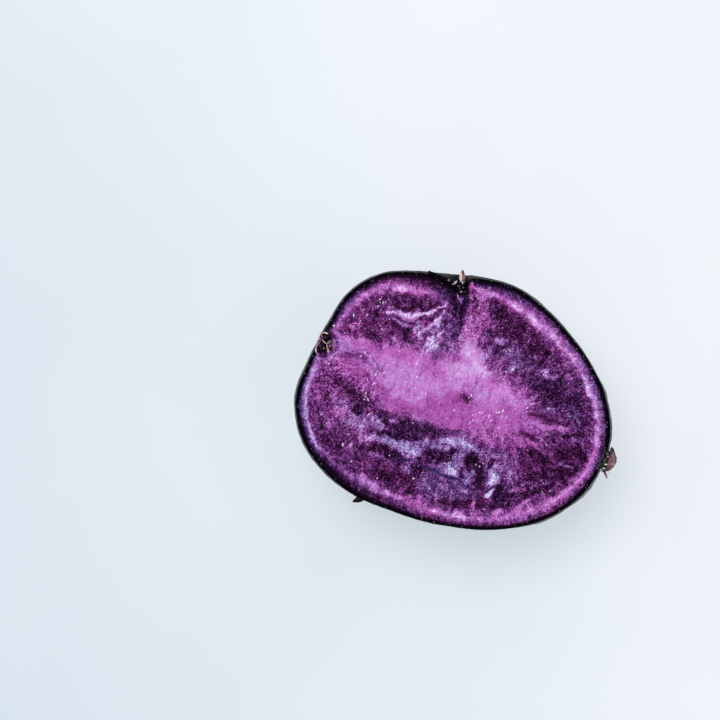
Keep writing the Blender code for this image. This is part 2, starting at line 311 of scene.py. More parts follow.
def scatter(centres, halfSizes, turns, rows, around, rough, seed):
    # The same ball at every centre, stretched, turned about Z and roughened by noise
    points, quads, triangles = loft(roundTemplate(rows, around))
    many = points[None] * halfSizes[:, None]
    bumps = cloudNoise(many * 2 + centres[:, None] * 7, 1.0, 2, seed)
    many = many * (1 + rough * bumps[..., None])
    c, s = np.cos(turns)[:, None], np.sin(turns)[:, None]
    x, y = many[..., 0] * c - many[..., 1] * s, many[..., 0] * s + many[..., 1] * c
    many = np.stack([x, y, many[..., 2]], -1) + centres[:, None]
    step = (np.arange(len(centres)) * len(points))[:, None, None]
    return many.reshape(-1, 3), (quads[None] + step).reshape(-1, 4), (triangles[None] + step).reshape(-1, 3)


def makeTinted(name, shapes, tones, *look):
    # One piece from closed shapes, each with one tone or a tone for each of its points
    tones = [tone + np.zeros(len(shape[0])) for shape, tone in zip(shapes, tones)]
    makePiece(name, joinShapes(shapes), tintedMaterial(*look), {"tone": np.concatenate(tones)})


# Shader helpers

def linear(code):
    # sRGB hex to linear light
    parts = [int(code[n:n + 2], 16) / 255 for n in (1, 3, 5)]
    return tuple(p / 12.92 if p <= 0.04045 else ((p + 0.055) / 1.055) ** 2.4 for p in parts) + (1,)


def addNode(tree, kind, settings=None, **sockets):
    # Kinds go without their first word, ShaderNode. Socket names are written with _ for a space, or in0, in1
    # for the first, second socket. A node as a value stands for its first output
    node = tree.nodes.new("ShaderNode" + kind)
    for key, value in (settings or {}).items():
        setattr(node, key, value)
    for key, value in sockets.items():
        byPlace = key[:2] == "in" and key[2:].isdigit()
        link(tree, value, node.inputs[int(key[2:]) if byPlace else key.replace("_", " ")])
    return node


def link(tree, value, socket):
    if isinstance(value, bpy.types.Node):
        value = value.outputs[0]
    if isinstance(value, bpy.types.NodeSocket):
        tree.links.new(value, socket)
    else:
        socket.default_value = value


def setStops(ramp, stops):
    # Each stop has a place, then a hex colour or a grey's strength
    elements = ramp.color_ramp.elements
    while len(elements) < len(stops):
        elements.new(0.5)
    for element, (place, paint) in zip(elements, stops):
        element.position = place
        element.color = linear(paint) if isinstance(paint, str) else (paint, paint, paint, 1)


def newMaterial(name, roughness, ior):
    material = bpy.data.materials.new(name)
    material.use_nodes = True
    tree = material.node_tree
    setShader(tree, Roughness=roughness, IOR=ior)
    return material, tree


def setShader(tree, **values):
    for key, value in values.items():
        link(tree, value, tree.nodes["Principled BSDF"].inputs[key.replace("_", " ")])


# Flesh: raw potato flesh, sliced by a knife and still wet. Anthocyanin colours it purple, paler where
# starch is thick. The eye sees mottled magenta and violet, a pale ring near the skin and a smooth pink pith.
flesh = {
    "grid": 286,
    "undersideRows": 18,
    "insideSkin": 0.72,
    "deeperInset": 1.6,
    "bottom": 1.6,
    "topDrop": 0.03,
    "warp": 0.75,              # how far the washes' edges wander
    "base": (0.32, 0.25, 1.0),
    # Round the half every 15 degrees: depth of the black bark, lightness and coolness of the cortex under
    # it, then depth, half width, lightness and coolness of the vascular ring, and its thin line's strength
    "roundTable": (
        (1.1, 0.46, 0.6, 3.3, 0.9, 0.66, 0.5, 0.08), (1.1, 0.44, 0.5, 3.5, 1.0, 0.66, 0.3, 0.10),
        (1.2, 0.44, 0.4, 3.8, 1.1, 0.72, 0.2, 0.14), (1.2, 0.38, 0.4, 4.5, 1.2, 0.70, 0.15, 0.12),
        (1.5, 0.34, 0.5, 4.3, 1.1, 0.65, 0.15, 0.10), (1.6, 0.30, 0.6, 3.6, 1.0, 0.64, 0.2, 0.04),
        (1.5, 0.22, 0.5, 4.5, 1.0, 0.50, 0.4, 0.00), (1.8, 0.27, 0.2, 5.0, 1.4, 0.62, 0.05, 0.02),
        (1.3, 0.30, 0.2, 3.6, 1.3, 0.64, 0.15, 0.04), (1.0, 0.22, 0.8, 3.0, 1.2, 0.62, 0.25, 0.08),
        (1.0, 0.25, 0.8, 2.3, 1.0, 0.58, 0.30, 0.05), (1.0, 0.34, 0.9, 2.1, 0.9, 0.62, 0.55, 0.06),
        (0.9, 0.38, 0.9, 2.5, 0.7, 0.62, 0.65, 0.08), (1.2, 0.28, 0.6, 2.6, 0.6, 0.68, 0.6, 0.14),
        (1.9, 0.22, 0.4, 3.8, 0.7, 0.48, 0.4, 0.03), (1.5, 0.26, 0.4, 4.4, 0.9, 0.50, 0.4, 0.05),
        (1.2, 0.30, 0.3, 3.8, 1.0, 0.50, 0.25, 0.03), (1.0, 0.32, 0.3, 3.4, 1.2, 0.58, 0.15, 0.08),
        (0.9, 0.33, 0.3, 3.2, 1.1, 0.60, 0.3, 0.12), (1.0, 0.34, 0.3, 3.0, 0.8, 0.62, 0.2, 0.14),
        (0.9, 0.35, 0.3, 3.5, 1.3, 0.63, 0.2, 0.10), (0.9, 0.40, 0.3, 3.4, 1.0, 0.66, 0.15, 0.12),
        (1.0, 0.40, 0.3, 3.1, 1.0, 0.60, 0.15, 0.10), (1.3, 0.36, 0.4, 3.3, 0.9, 0.62, 0.25, 0.10),
    ),
    "barkLight": 0.04,
    "cortexRise": 0.16,        # how much lighter the cortex is at the ring than at the bark
    "lineHalfWidth": 0.22,
    "flameLengths": (0.4, 0.5, 0.4, 0.4, 1.2, 0.8, 0.5, 0.5, 1.0, 2.2, 1.4, 0.5),
    # Washes of tissue, painted in this order. Each kind has its grain, raggedness, how far that follows the
    # fibres, share of web and edge power. Each stroke has a lightness and a coolness in hundredths, then X, Y
    # and half width of its places in tenths of a millimetre
    "washes": (
        ("middle tones", 0.9, 0.5, 0.3, 0.0, 2.4, (
            (39, 12, -350, 70, 50, -340, -30, 60), (31, 25, -310, -120, 40, -240, -190, 50),
            (28, 10, -180, -210, 40, -120, -240, 40), (32, 5, -280, 220, 50, -200, 210, 50, -100, 200, 50),
            (36, 55, -70, -230, 40, 0, -250, 40, 50, -270, 30),
            (50, 65, -205, -108, 18, -120, -138, 26, -40, -128, 24, 40, -126, 28, 90, -160, 24),
            (48, 65, -30, -195, 30, 10, -170, 26, 20, -230, 26),
            (45, 60, 105, -215, 32, 135, -170, 32, 165, -210, 26), (40, 55, -150, -170, 20, -120, -190, 20),
            (40, 35, 110, -160, 35, 170, -180, 35), (25, 10, 220, -180, 40, 290, -190, 45, 340, -140, 40),
            (33, 5, 120, 260, 30, 200, 195, 35, 270, 130, 30), (33, 45, 190, 130, 40, 240, 90, 45),
            (46, 45, -310, -30, 30, -260, -50, 35),
            (50, 5, -330, 130, 40, -270, 110, 70, -180, 80, 90, -80, 50, 105, 0, 30, 110, 80, 10, 110, 150,
             -40, 90),
            (48, 8, 150, -50, 70, 190, -90, 50, 240, -90, 35),
            (47, 6, 70, 300, 28, 70, 240, 34, 55, 180, 42, 40, 130, 50),
            (58, 15, 45, 200, 20, 40, 150, 32, 40, 110, 45),
        )),
        ("dark tissue", 1.0, 0.5, 0.5, 0.0, 2.4, (
            (19, 5, 120, 270, 22, 150, 235, 30, 180, 205, 30), (22, 20, 210, 175, 30, 260, 120, 26),
            (25, 40, 240, 50, 24, 290, 30, 40, 340, -10, 36, 360, -60, 24),
            (16, 35, 265, 35, 18, 310, 5, 18),
            (24, 12, -240, 285, 14, -180, 292, 21, -120, 288, 25, -70, 283, 21, -40, 283, 11),
            (14, 10, -155, 266, 8, -120, 268, 7, -90, 268, 9, -63, 262, 7),
            (22, 30, -160, 238, 5, -140, 230, 4, -120, 229, 4),
            (17, 5, -175, 220, 6, -160, 212, 8, -140, 208, 7, -125, 198, 10, -110, 195, 9),
            (24, 5, -250, 275, 12), (20, 2, -220, 245, 16), (29, 2, -280, 240, 10),
            (15, 5, -250, 188, 10, -226, 184, 16, -210, 173, 8), (18, 25, -135, 180, 12, -110, 166, 8),
            (28, 5, -255, 195, 10), (20, 5, -175, 193, 7),
            (21, 15, -295, 35, 18, -280, 10, 15, -250, 5, 13), (12, 25, -275, -25, 15),
            (29, 0, -240, 26, 16), (26, 10, -245, -30, 10, -220, -30, 15),
            (15, 35, -200, -43, 18, -165, -65, 23, -120, -78, 27, -80, -80, 23, -40, -82, 15, 10, -90, 11),
            (8, 40, -120, -75, 15, -85, -78, 18), (15, 40, -200, -95, 11, -150, -103, 14, -100, -102, 13),
            (13, 10, -265, -133, 6, -220, -132, 15, -195, -135, 13),
            (15, 30, -186, -148, 14, -164, -166, 23), (16, 30, -96, -164, 8, -96, -180, 9),
            (12, 30, -78, -146, 11, -50, -158, 19, -26, -164, 16, -10, -150, 10),
            (13, 30, -8, -138, 9, 10, -144, 6), (16, 45, -120, -186, 9, -95, -196, 13, -115, -210, 12),
            (11, 30, 58, -150, 14, 50, -176, 22, 64, -196, 22, 76, -220, 15),
            (17, 40, 86, -250, 8, 65, -242, 11), (20, 60, 24, -217, 9, 25, -193, 7),
            (20, 20, 106, -188, 8, 110, -170, 8), (15, 45, 130, -290, 15, 138, -257, 19, 166, -262, 15),
            (14, 12, 210, -228, 10, 245, -216, 15, 300, -208, 15, 356, -194, 10),
            (13, 12, 310, -156, 12, 354, -144, 14, 376, -166, 11), (14, 10, 225, -150, 12, 265, -174, 10),
            (13, 15, 195, -266, 12, 240, -254, 10, 286, -240, 10), (15, 10, 364, -98, 10, 320, -106, 8),
            (18, 5, -200, -214, 20, -146, -226, 24, -120, -252, 14),
            (19, 10, -335, -176, 11, -294, -198, 10),
            (18, 5, -20, -290, 12, 30, -294, 12, 90, -300, 11, 160, -294, 10),
            (24, 0, 190, -90, 4, 210, -100, 7, 225, -107, 9, 245, -110, 5),
            (24, 25, -360, -95, 16, -340, -125, 23), (26, 30, -390, -20, 8, -377, -55, 8, -380, -80, 8),
            (25, 15, -330, 64, 15, -306, 40, 18), (27, 10, -360, 16, 9, -346, -36, 8),
            (20, 40, 18, 300, 22, 18, 260, 20, 10, 220, 19, 4, 185, 15),
            (31, 45, -20, 158, 14, -36, 140, 17, -56, 118, 12), (22, 30, 130, 150, 24),
            (30, 15, 78, 156, 12),
        )),
        ("pith", 0.3, 0.6, 1.0, 0.0, 2.8, (
            (69, 26, -325, 163, 20, -275, 140, 38, -210, 95, 66, -145, 60, 82, -80, 42, 88),
            (69, 26, -80, 42, 88, -10, 22, 92, 50, 12, 88, 110, -5, 74, 165, -30, 54),
            (56, 10, 165, -36, 44, 205, -58, 28), (66, 25, 50, 160, 18, 54, 130, 30, 34, 90, 46),
        )),
        ("tail of the pith", 0.75, 0.7, 0.8, 0.0, 2.0, (
            (52, 5, 70, -90, 26, 130, -108, 30, 180, -120, 20, 240, -128, 10),
            (52, 12, 200, -56, 22, 250, -73, 14, 310, -84, 8),
            (50, 5, -320, 120, 18, -280, 90, 24, -250, 55, 20),
        )),
        ("pith tones", 0.35, 0.5, 0.8, 0.0, 1.8, (
            (59, 0, -290, 168, 11, -240, 150, 13, -190, 140, 13, -140, 128, 12, -105, 120, 10),
            (53, 0, -205, 25, 12, -185, 3, 14, -140, -20, 15, -90, -33, 15, -50, -46, 14),
            (56, 0, -35, -56, 12, 10, -68, 12, 60, -75, 12), (75, 25, -15, 85, 22, 30, 83, 32, 70, 84, 20),
            (73, 30, 48, 155, 15, 48, 125, 20), (81, 30, 36, 144, 10, 50, 123, 11, 66, 103, 10, 88, 78, 9),
            (70, 12, 100, 50, 18, 130, 40, 18, 160, 22, 14, 180, -15, 13),
            (56, 8, -60, -5, 24, -30, -25, 28, 10, -36, 30, 50, -30, 24),
            (58, 0, 85, -30, 18, 110, -52, 20, 160, -52, 18, 200, -60, 12),
            (60, 5, -70, 100, 16, -40, 78, 18), (56, 0, -16, 14, 16, 18, 6, 20),
            (44, 40, -55, 120, 10, -43, 134, 16), (73, 0, -100, 113, 9), (66, 0, -200, 120, 14),
            (62, 50, -340, 155, 12, -310, 150, 15), (66, 20, -300, 172, 10, -260, 168, 8),
            (38, 25, -304, 132, 10, -280, 128, 11, -254, 116, 7),
            (50, 45, -290, 144, 4, -240, 136, 4, -218, 100, 4, -226, 56, 5),
            (52, 40, -280, 110, 5, -240, 104, 4, -225, 80, 4),
            (62, 25, 220, -63, 9, 250, -74, 8, 290, -82, 5), (27, 5, 220, -42, 8, 260, -46, 8, 290, -60, 6),
            (26, 5, 194, -92, 5, 210, -100, 7, 226, -106, 9), (36, 0, 152, -108, 7),
            (40, 0, 26, 12, 14, 42, 2, 11), (30, 0, 31, 7, 8, 41, 2, 7),
        )),
        ("clouds", 0.9, 0.6, 0.2, 0.75, 2.0, (
            (63, 65, -293, -48, 17, -273, -68, 18), (57, 75, -223, -58, 16, -206, -76, 12),
            (48, 30, -295, -93, 16, -265, -95, 18), (52, 45, -345, 25, 16, -330, 0, 16),
            (54, 20, -333, -22, 17, -310, -40, 14), (56, 25, -295, -125, 12), (68, 35, -353, -70, 9),
            (60, 20, -375, -35, 8), (56, 45, -170, -60, 10),
            (62, 85, -196, -106, 8, -160, -124, 11, -130, -137, 13, -106, -148, 11),
            (72, 90, -150, -127, 5, -128, -138, 7, -110, -147, 6),
            (56, 70, -96, -136, 7, -84, -114, 8, -55, -126, 10, -25, -130, 9),
            (53, 55, -136, -156, 9, -113, -158, 7), (54, 60, -132, -188, 8, -152, -188, 6, -122, -176, 5),
            (62, 80, -38, -184, 9, -14, -194, 13, 0, -208, 10), (73, 85, -16, -192, 7, -2, -202, 5),
            (58, 75, 2, -186, 9, 12, -168, 8, 28, -150, 7),
            (66, 80, -24, -114, 7, 0, -114, 9, 26, -122, 12, 56, -134, 9),
            (76, 85, -10, -116, 5, 16, -122, 6, 44, -128, 6),
            (54, 55, 64, -140, 6, 84, -156, 8, 92, -178, 6),
            (50, 60, -242, -150, 4, -214, -158, 6, -192, -170, 5),
            (65, 45, -259, -113, 7, -240, -108, 9, -224, -104, 8), (44, 80, 56, -208, 8, 40, -216, 8),
            (68, 85, 106, -208, 10, 122, -222, 16, 110, -238, 12),
            (80, 90, 120, -214, 7, 124, -228, 8, 108, -236, 6),
            (60, 65, 114, -193, 6, 135, -184, 8, 157, -200, 8, 156, -217, 6),
            (54, 60, 110, -164, 5, 134, -154, 7, 158, -170, 6),
            (56, 65, -50, -234, 8, -24, -246, 10, -44, -266, 8), (50, 60, -80, -226, 6, -70, -250, 7),
            (64, 70, 16, -250, 6, 24, -259, 7, 54, -267, 6), (53, 15, 174, -256, 7, 200, -254, 7),
            (44, 40, 265, -230, 9), (50, 20, -243, -210, 12),
            (60, 60, -95, 205, 20, -55, 185, 32, -60, 156, 24), (54, 60, -45, 220, 18, -30, 245, 14),
            (82, 55, -96, 194, 6, -75, 208, 9, -50, 226, 8, -26, 254, 5),
            (82, 55, -86, 156, 6, -64, 171, 10, -46, 184, 7, -30, 200, 5),
            (76, 60, -68, 146, 6, -52, 158, 8, -36, 170, 5), (54, 50, -11, 163, 10, 9, 150, 10),
            (43, 80, -7, 216, 9, -16, 186, 13), (46, 50, -155, 195, 10), (56, 35, -166, 175, 9),
            (56, 80, 15, 263, 7, -7, 268, 6), (57, 45, 108, 174, 8, 130, 172, 8, 152, 167, 6),
            (53, 45, 142, 144, 8, 156, 134, 9, 185, 145, 9), (58, 55, 92, 130, 10, 84, 116, 7),
            (50, 25, 125, 108, 12, 122, 88, 13, 142, 74, 13), (62, 95, 169, 86, 13),
            (62, 45, 266, 78, 10, 286, 65, 9), (62, 85, 235, 120, 8), (46, 30, 220, 90, 10),
            (52, 40, 314, 76, 7, 332, 60, 7), (60, 45, 215, -2, 10, 240, -8, 6),
            (57, 85, 270, -23, 7, 292, -29, 7),
            (52, 85, 330, -43, 5, 348, -45, 4, 358, -60, 4, 360, -80, 3), (50, 5, 340, -62, 7),
            (50, 20, 310, -80, 6, 324, -77, 5), (58, 60, 302, -178, 6, 320, -188, 7, 340, -195, 3),
            (46, 40, 348, -115, 10, 370, -120, 8), (56, 5, -296, 210, 8, -270, 215, 10),
            (48, 30, -202, 270, 8),
        )),
        ("threads and patches of the ring", 0.5, 0.5, 0.5, 0.0, 2.2, (
            (84, 60, -185, 250, 4, -170, 253, 6, -150, 250, 10, -130, 244, 8, -115, 241, 7),
            (86, 55, -115, 241, 7, -100, 245, 9, -85, 249, 5, -70, 251, 4, -60, 255, 5),
            (80, 50, -60, 255, 5, -45, 264, 4.5, -30, 272, 4, -18, 284, 3),
            (62, 40, -150, 240, 5, -126, 232, 6, -100, 236, 5),
            (63, 65, -180, 240, 3, -170, 230, 4, -155, 225, 5, -140, 222, 5, -123, 216, 5),
            (80, 10, -170, 322, 6, -150, 323, 10, -130, 318, 7),
            (72, 5, -96, 308, 5, -75, 307, 6, -60, 312, 7), (78, 35, -58, -313, 12, -48, -316, 9),
            (77, 35, 8, -324, 10, 26, -328, 8), (67, 25, 120, -320, 10, 136, -315, 8),
            (66, 15, 185, -312, 11), (60, 15, -100, -300, 8, -93, -274, 9),
            (60, 15, 60, -305, 8, 62, -292, 5), (60, 15, 190, -300, 8, 208, -284, 8),
            (66, 25, -195, -258, 8, -180, -272, 9, -155, -282, 9, -135, -278, 7, -122, -265, 7),
            (64, 40, -260, -225, 13, -240, -235, 13, -220, -250, 10),
            (73, 15, 90, 313, 6, 105, 304, 7, 120, 303, 5), (76, 40, 138, 298, 6, 160, 282, 7),
            (79, 5, 172, 270, 6, 190, 258, 7), (76, 20, 223, 234, 9, 236, 220, 9, 252, 212, 8),
            (75, 20, 278, 190, 7, 310, 156, 7, 332, 136, 7), (78, 40, 383, 40, 7, 392, 12, 8),
            (78, 40, 407, -10, 7, 410, -42, 8),
            (66, 20, 412, -74, 7, 413, -96, 6, 409, -130, 7, 402, -156, 5),
            (68, 20, 383, -195, 6, 370, -215, 8, 354, -240, 9, 330, -263, 9, 305, -276, 10),
            (74, 50, -395, 100, 5, -407, 76, 8, -414, 50, 6, -420, 24, 5),
            (74, 70, -420, 24, 3.5, -422, -4, 4, -420, -34, 4, -415, -60, 3.5),
            (70, 70, -415, -60, 3.5, -407, -86, 3.5, -398, -106, 3, -390, -130, 3),
            (58, 15, -386, 28, 6, -386, 6, 6),
        )),
        ("blue veins", 0.4, 0.3, 0.0, 0.0, 2.4, (
            (26, 100, -140, -174, 4, -123, -173, 4),
            (26, 100, -94, -184, 4, -70, -192, 4.5, -45, -200, 4.5, -27, -212, 4.5, -5, -220, 4),
            (24, 100, -5, -220, 4, 9, -223, 4, 20, -236, 4.5, 32, -247, 4.5, 42, -251, 4),
            (30, 100, 78, -252, 3, 100, -256, 3.5, 118, -248, 3), (90, 85, 97, -273, 8, 114, -263, 8),
        )),
    ),
    "noRing": ((1.5, 35, 4.4), (1.5, 31, 3.2)),
    # lightness and coolness in hundredths, grain, then places as above
    "lateWashes": (
        (44, 10, 1.2, 52, 332, 8, 55, 305, 13, 58, 275, 14),
        (62, 15, 0.8, 52, 326, 6, 68, 316, 7, 86, 312, 6),
        (3, 40, 0.2, -75, 366, 10, -40, 357, 12, -15, 342, 15, 10, 328, 19, 24, 314, 19),
        (10, 40, 0.8, 8, 308, 12, 24, 296, 18, 30, 272, 14, 26, 246, 10),
        (12, 40, 0.9, -8, 304, 8, -2, 284, 9, 6, 264, 8),
        (58, 45, 1.2, 12, 304, 3.5, 16, 295, 6, 21, 286, 5),
        (40, 45, 1.2, 8, 300, 3, 26, 289, 4, 22, 278, 4),
        (3, 30, 0.2, -372, 181, 10, -354, 181, 9, -348, 182, 4),
        (3, 30, 0.2, -388, 154, 8, -376, 144, 12, -369, 136, 7), (16, 15, 0.6, -350, 188, 7, -340, 180, 6),
        (24, 5, 0.8, -376, 132, 8, -364, 126, 5), (22, 10, 0.5, -376, 168, 6, -362, 164, 5),
        (36, 0, 0.7, -352, 162, 6, -347, 150, 8, -350, 136, 5),
    ),
    "spine": ((-24, 9), (17, -4)),
    "sunkEye": ((-4, 35.9, 1.0), (-1.0, 34.2, 1.4), (1.2, 32.8, 1.7), (2.2, 31.0, 1.3)),
    "hollowPlaces": ((3.0, 0.8, 0.9), (4.3, 0.2, 0.7)),
    "hollowDepth": 0.6,
    "cellSize": 0.38,          # millimetres, as the sizes below
    "clumpSize": 1.2,
    "dotSpacing": 0.95,
    "raySpacing": 1.3,
    "grainShares": (0.240, 0.080, 0.115, 0.050),   # cells, clumps, rays and fringe of the ring
    "dotLight": 0.30,
    "fibreLight": 0.08,        # how much lighter or darker the fibres are
    "warmStops": (
        (0.00, "#0f020e"), (0.12, "#250622"), (0.26, "#471646"), (0.40, "#6c2c6c"), (0.54, "#a2499f"),
        (0.68, "#c26fc4"), (0.82, "#d99ddf"), (1.00, "#f8e6fb"),
    ),
    "coolStops": (
        (0.00, "#06030f"), (0.12, "#160a28"), (0.26, "#2c1d4c"), (0.40, "#4a3770"), (0.54, "#6f5a9a"),
        (0.68, "#9285be"), (0.82, "#b4acdc"), (1.00, "#e9e7fc"),
    ),
    "specularLevel": 0.03,
}


def strokeMask(x, y, places, power=2.4):
    # The largest over the path's stretches of exp(-(distance / width)^power)
    best = np.zeros_like(x)
    for (ax, ay, aw), (bx, by, bw) in zip(places, places[1:] or places):
        dx, dy = bx - ax, by - ay
        t = np.clip(((x - ax) * dx + (y - ay) * dy) / max(dx * dx + dy * dy, 1e-9), 0, 1)
        distance = np.hypot(x - ax - t * dx, y - ay - t * dy)
        best = np.maximum(best, np.exp(-(distance / (aw + t * (bw - aw))) ** power))
    return best


def strokePlaces(numbers):
    # Triples in tenths of a millimetre to places with half widths in millimetres
    return (np.reshape(numbers, (-1, 3)) / 10).tolist()


def aroundValues(values, angle):
    # Values at even steps round the half, eased between
    values = np.array(values)
    place = angle % math.tau / math.tau * len(values)
    index = np.floor(place).astype(int)
    t = eased(place - index)
    return values[index % len(values)] * (1 - t) + values[(index + 1) % len(values)] * t


def nearestRim(x, y):
    # Distance to the outline and the angle of its nearest point, from an even walk round the outline
    angles = closeColumns(np.arange(1600) / 1600)
    radius = outlineRadius(angles)
    rim = np.stack([radius * np.cos(angles), radius * np.sin(angles)], -1).astype(np.float32)
    places = np.stack([x, y], -1).astype(np.float32)
    distance, nearest = np.empty(len(x)), np.empty(len(x), int)
    for start in range(0, len(x), 4000):
        part = places[start:start + 4000]
        squares = ((part[:, None] - rim[None]) ** 2).sum(-1)
        nearest[start:start + 4000] = squares.argmin(1)
        distance[start:start + 4000] = np.sqrt(squares.min(1))
    return distance, angles[nearest], rim[nearest]


def blended(tissue, mask, *values):
    # Rows of lightness, coolness and grain, moved towards new values by the mask
    return tissue + mask * (np.stack([value + 0 * mask for value in values]) - tissue)


def tissueMarks(x, y):
    # Lightness, coolness and grain of the cut face: washes over a cloudy base, then the cortex and the ring
    places = flatPoints(x, y)
    warp = flesh["warp"]
    wx = x + warp * cloudNoise(places, 2.6, 3, 11)
    wy = y + warp * cloudNoise(places, 2.6, 3, 21)
    tissue = np.stack([value + 0 * x for value in flesh["base"]])
    tissue[0] += 0.06 * cloudNoise(places, 6.0, 3, 31)
    patches = cloudNoise(places, 1.7, 3, 51)
    # a web of pale threads runs where a wandering noise crosses zero
    web = np.clip(1 - 2.6 * np.abs(cloudNoise(flatPoints(wx, wy), 2.6, 3, 55)), 0, 1)
    fibres = cloudNoise(rayPlaces(x, y), 1.1, 3, 57)
    for kind, grain, ragged, fray, webShare, power, strokes in flesh["washes"]:
        uneven = 1.1 + 1.5 * ragged * (patches + fray * (fibres - patches))
        uneven = uneven * (1 - webShare * 0.75 * (1 - web)) * (1 + 0.35 * webShare)
        for light, cool, *numbers in strokes:
            mask = np.clip(strokeMask(wx, wy, strokePlaces(numbers), power) * uneven, 0, 1)
            # the pith's washes are soft and the others have a firmer edge
            if not kind.startswith("pith"):
                mask = eased(np.clip(1.3 * mask - 0.15, 0, 1))
            tissue = blended(tissue, mask, light / 100, cool / 100, grain)
    tissue[0] += flesh["fibreLight"] * tissue[2] * fibres
    edge, angle, rim = nearestRim(x, y)
    bark, cortexLight, cortexCool, depth, halfWidth, ringLight, ringCool, line = (
        aroundValues(column, angle) for column in zip(*flesh["roundTable"]))
    along = flatPoints(rim[:, 0], rim[:, 1])
    depth = depth + 0.22 * cloudNoise(along, 4.0, 2, 61)
    bark = bark * (1 + 0.14 * cloudNoise(along, 1.5, 2, 65))
    flames = 0.5 + 0.5 * cloudNoise(np.stack([rim[:, 0], rim[:, 1], edge / 5], -1), 1.3, 2, 71)
    reach = halfWidth + aroundValues(flesh["flameLengths"], angle) * np.clip(flames, 0, 1) ** 2
    inward = edge - depth
    ring = np.exp(-(np.abs(inward) / np.where(inward > 0, reach, halfWidth)) ** 1.9)
    noRing = strokeMask(x, y, flesh["noRing"])
    ring = ring * (1 - noRing)
    # from the bark inwards the cortex goes from near black to purple, then meets the ring
    share = np.clip((edge - bark) / (depth - 0.4 * halfWidth - bark), 0, 1)
    rise = eased(np.clip((edge - bark + 0.3) / 0.6, 0, 1))
    inner = cortexLight - flesh["cortexRise"] / 2 - flesh["barkLight"]
    cortex = flesh["barkLight"] + rise * (inner + flesh["cortexRise"] * share)
    cortex = cortex + 0.05 * rise * cloudNoise(places, 1.1, 2, 91)
    cortexMask = 1 / (1 + np.exp(np.clip((inward + 0.35) / 0.16, -60, 60)))
    tissue = blended(tissue, cortexMask, cortex, cortexCool, 0.25 + 0.6 * rise)
    target = ringLight + 0.10 * cloudNoise(places, 1.5, 3, 81)
    ring = np.clip(ring * (0.97 + 0.28 * patches), 0, 1)
    tissue = blended(tissue, ring, np.maximum(target, tissue[0]), ringCool, 0.55)
    broken = np.clip(0.5 + 1.2 * cloudNoise(along, 1.8, 2, 85), 0, 1)
    tissue[0] += line * (1 - noRing) * broken * np.exp(-(inward / flesh["lineHalfWidth"]) ** 2)
    # tissue at the cut eye and the scar, over the ring and the cortex
    for light, cool, grain, *numbers in flesh["lateWashes"]:
        mask = strokeMask(wx * 0.3 + x * 0.7, wy * 0.3 + y * 0.7, strokePlaces(numbers), 3.0)
        mask = np.clip(mask * (1.1 + 0.6 * patches), 0, 1)
        tissue = blended(tissue, mask, light / 100, cool / 100, grain)
    # clumps of starch a millimetre or two wide
    tissue[0] += tissue[2] * 0.045 * cloudNoise(places, 1.3, 2, 95)
    tissue[1] += 0.12 * cloudNoise(places, 2.2, 3, 99)
    return tissue, edge, rim


def rayPlaces(x, y):
    # Rays from the pith's spine: the spot where the ray crosses an oval 20 mm out, and the way along it
    (ax, ay), (bx, by) = flesh["spine"]
    t = np.clip(((x - ax) * (bx - ax) + (y - ay) * (by - ay)) / ((bx - ax) ** 2 + (by - ay) ** 2), 0, 1)
    qx, qy = ax + t * (bx - ax), ay + t * (by - ay)
    distance = np.maximum(np.hypot(x - qx, y - qy), 1e-3)
    return np.stack([qx + 20 * (x - qx) / distance, qy + 20 * (y - qy) / distance, distance / 2.5], -1)


def fullInset(height):
    # How much deeper hidden walls lie than at the cut, to stay clear of the eyes' bowls
    return flesh["deeperInset"] * (1 - np.exp(-((tuber["thickness"] - height) / 2.5) ** 2))


def fleshShape():
    # Top: a square grid folded onto the disc and stretched to the outline. Below: the belly, set in
    n = flesh["grid"]
    a, b = np.meshgrid(np.linspace(-1, 1, n), np.linspace(-1, 1, n), indexing="ij")
    a, b = a + 1e-9, b + 2e-9
    wide = np.abs(a) > np.abs(b)
    radius = np.where(wide, a, b)
    turn = np.where(wide, math.pi / 4 * b / np.where(wide, a, 1),
                    math.pi / 2 - math.pi / 4 * a / np.where(wide, 1, b))
    angle = np.arctan2(radius * np.sin(turn), radius * np.cos(turn))
    angle = closeColumns(angle / math.tau)
    reach = np.abs(radius) * (outlineRadius(angle) - flesh["insideSkin"])
    x, y = (reach * np.cos(angle)).ravel(), (reach * np.sin(angle)).ravel()
    top = np.stack([x, y, np.full(n * n, tuber["thickness"] - flesh["topDrop"])], -1)
    index = np.arange(n * n).reshape(n, n)
    rim = np.concatenate([index[:-1, 0], index[-1, :-1], index[:0:-1, -1], index[0, :0:-1]])
    rimAngle = angle.ravel()[rim]
    rows = np.linspace(cutDown(1.0), math.radians(87), flesh["undersideRows"])
    inset = flesh["insideSkin"] + fullInset(tuberSurface(rows * 0, rows)[:, 2])
    down = rows[:, None] + 0 * rimAngle[None]
    turnGrid = rimAngle[None] + 0 * down
    sides = tuberSurface(turnGrid, down) - inset[:, None, None] * directions(turnGrid, down)
    sides[..., 2] = np.maximum(sides[..., 2], flesh["bottom"])
    points = np.vstack([top, sides.reshape(-1, 3), [[0, 0, flesh["bottom"]]]])
    rings = np.vstack([rim, n * n + np.arange(len(down) * len(rim)).reshape(len(down), -1)])
    closed = np.hstack([rings, rings[:, :1]])
    triangles = np.stack([rings[-1], np.full(len(rim), len(points) - 1), closed[-1, 1:]], -1)
    return outward(points, np.vstack([gridQuads(index), gridQuads(closed)]), triangles)


def spreadNoise(tree, vector, scale, detail, roughness):
    # Noise drawn out to about -1 to 1
    noise = addNode(tree, "TexNoise", Vector=vector, Scale=scale, Detail=detail, Roughness=roughness)
    return addNode(tree, "MapRange", {"clamp": False}, Value=noise, From_Min=0.34, From_Max=0.66,
                   To_Min=-1.0, To_Max=1.0)


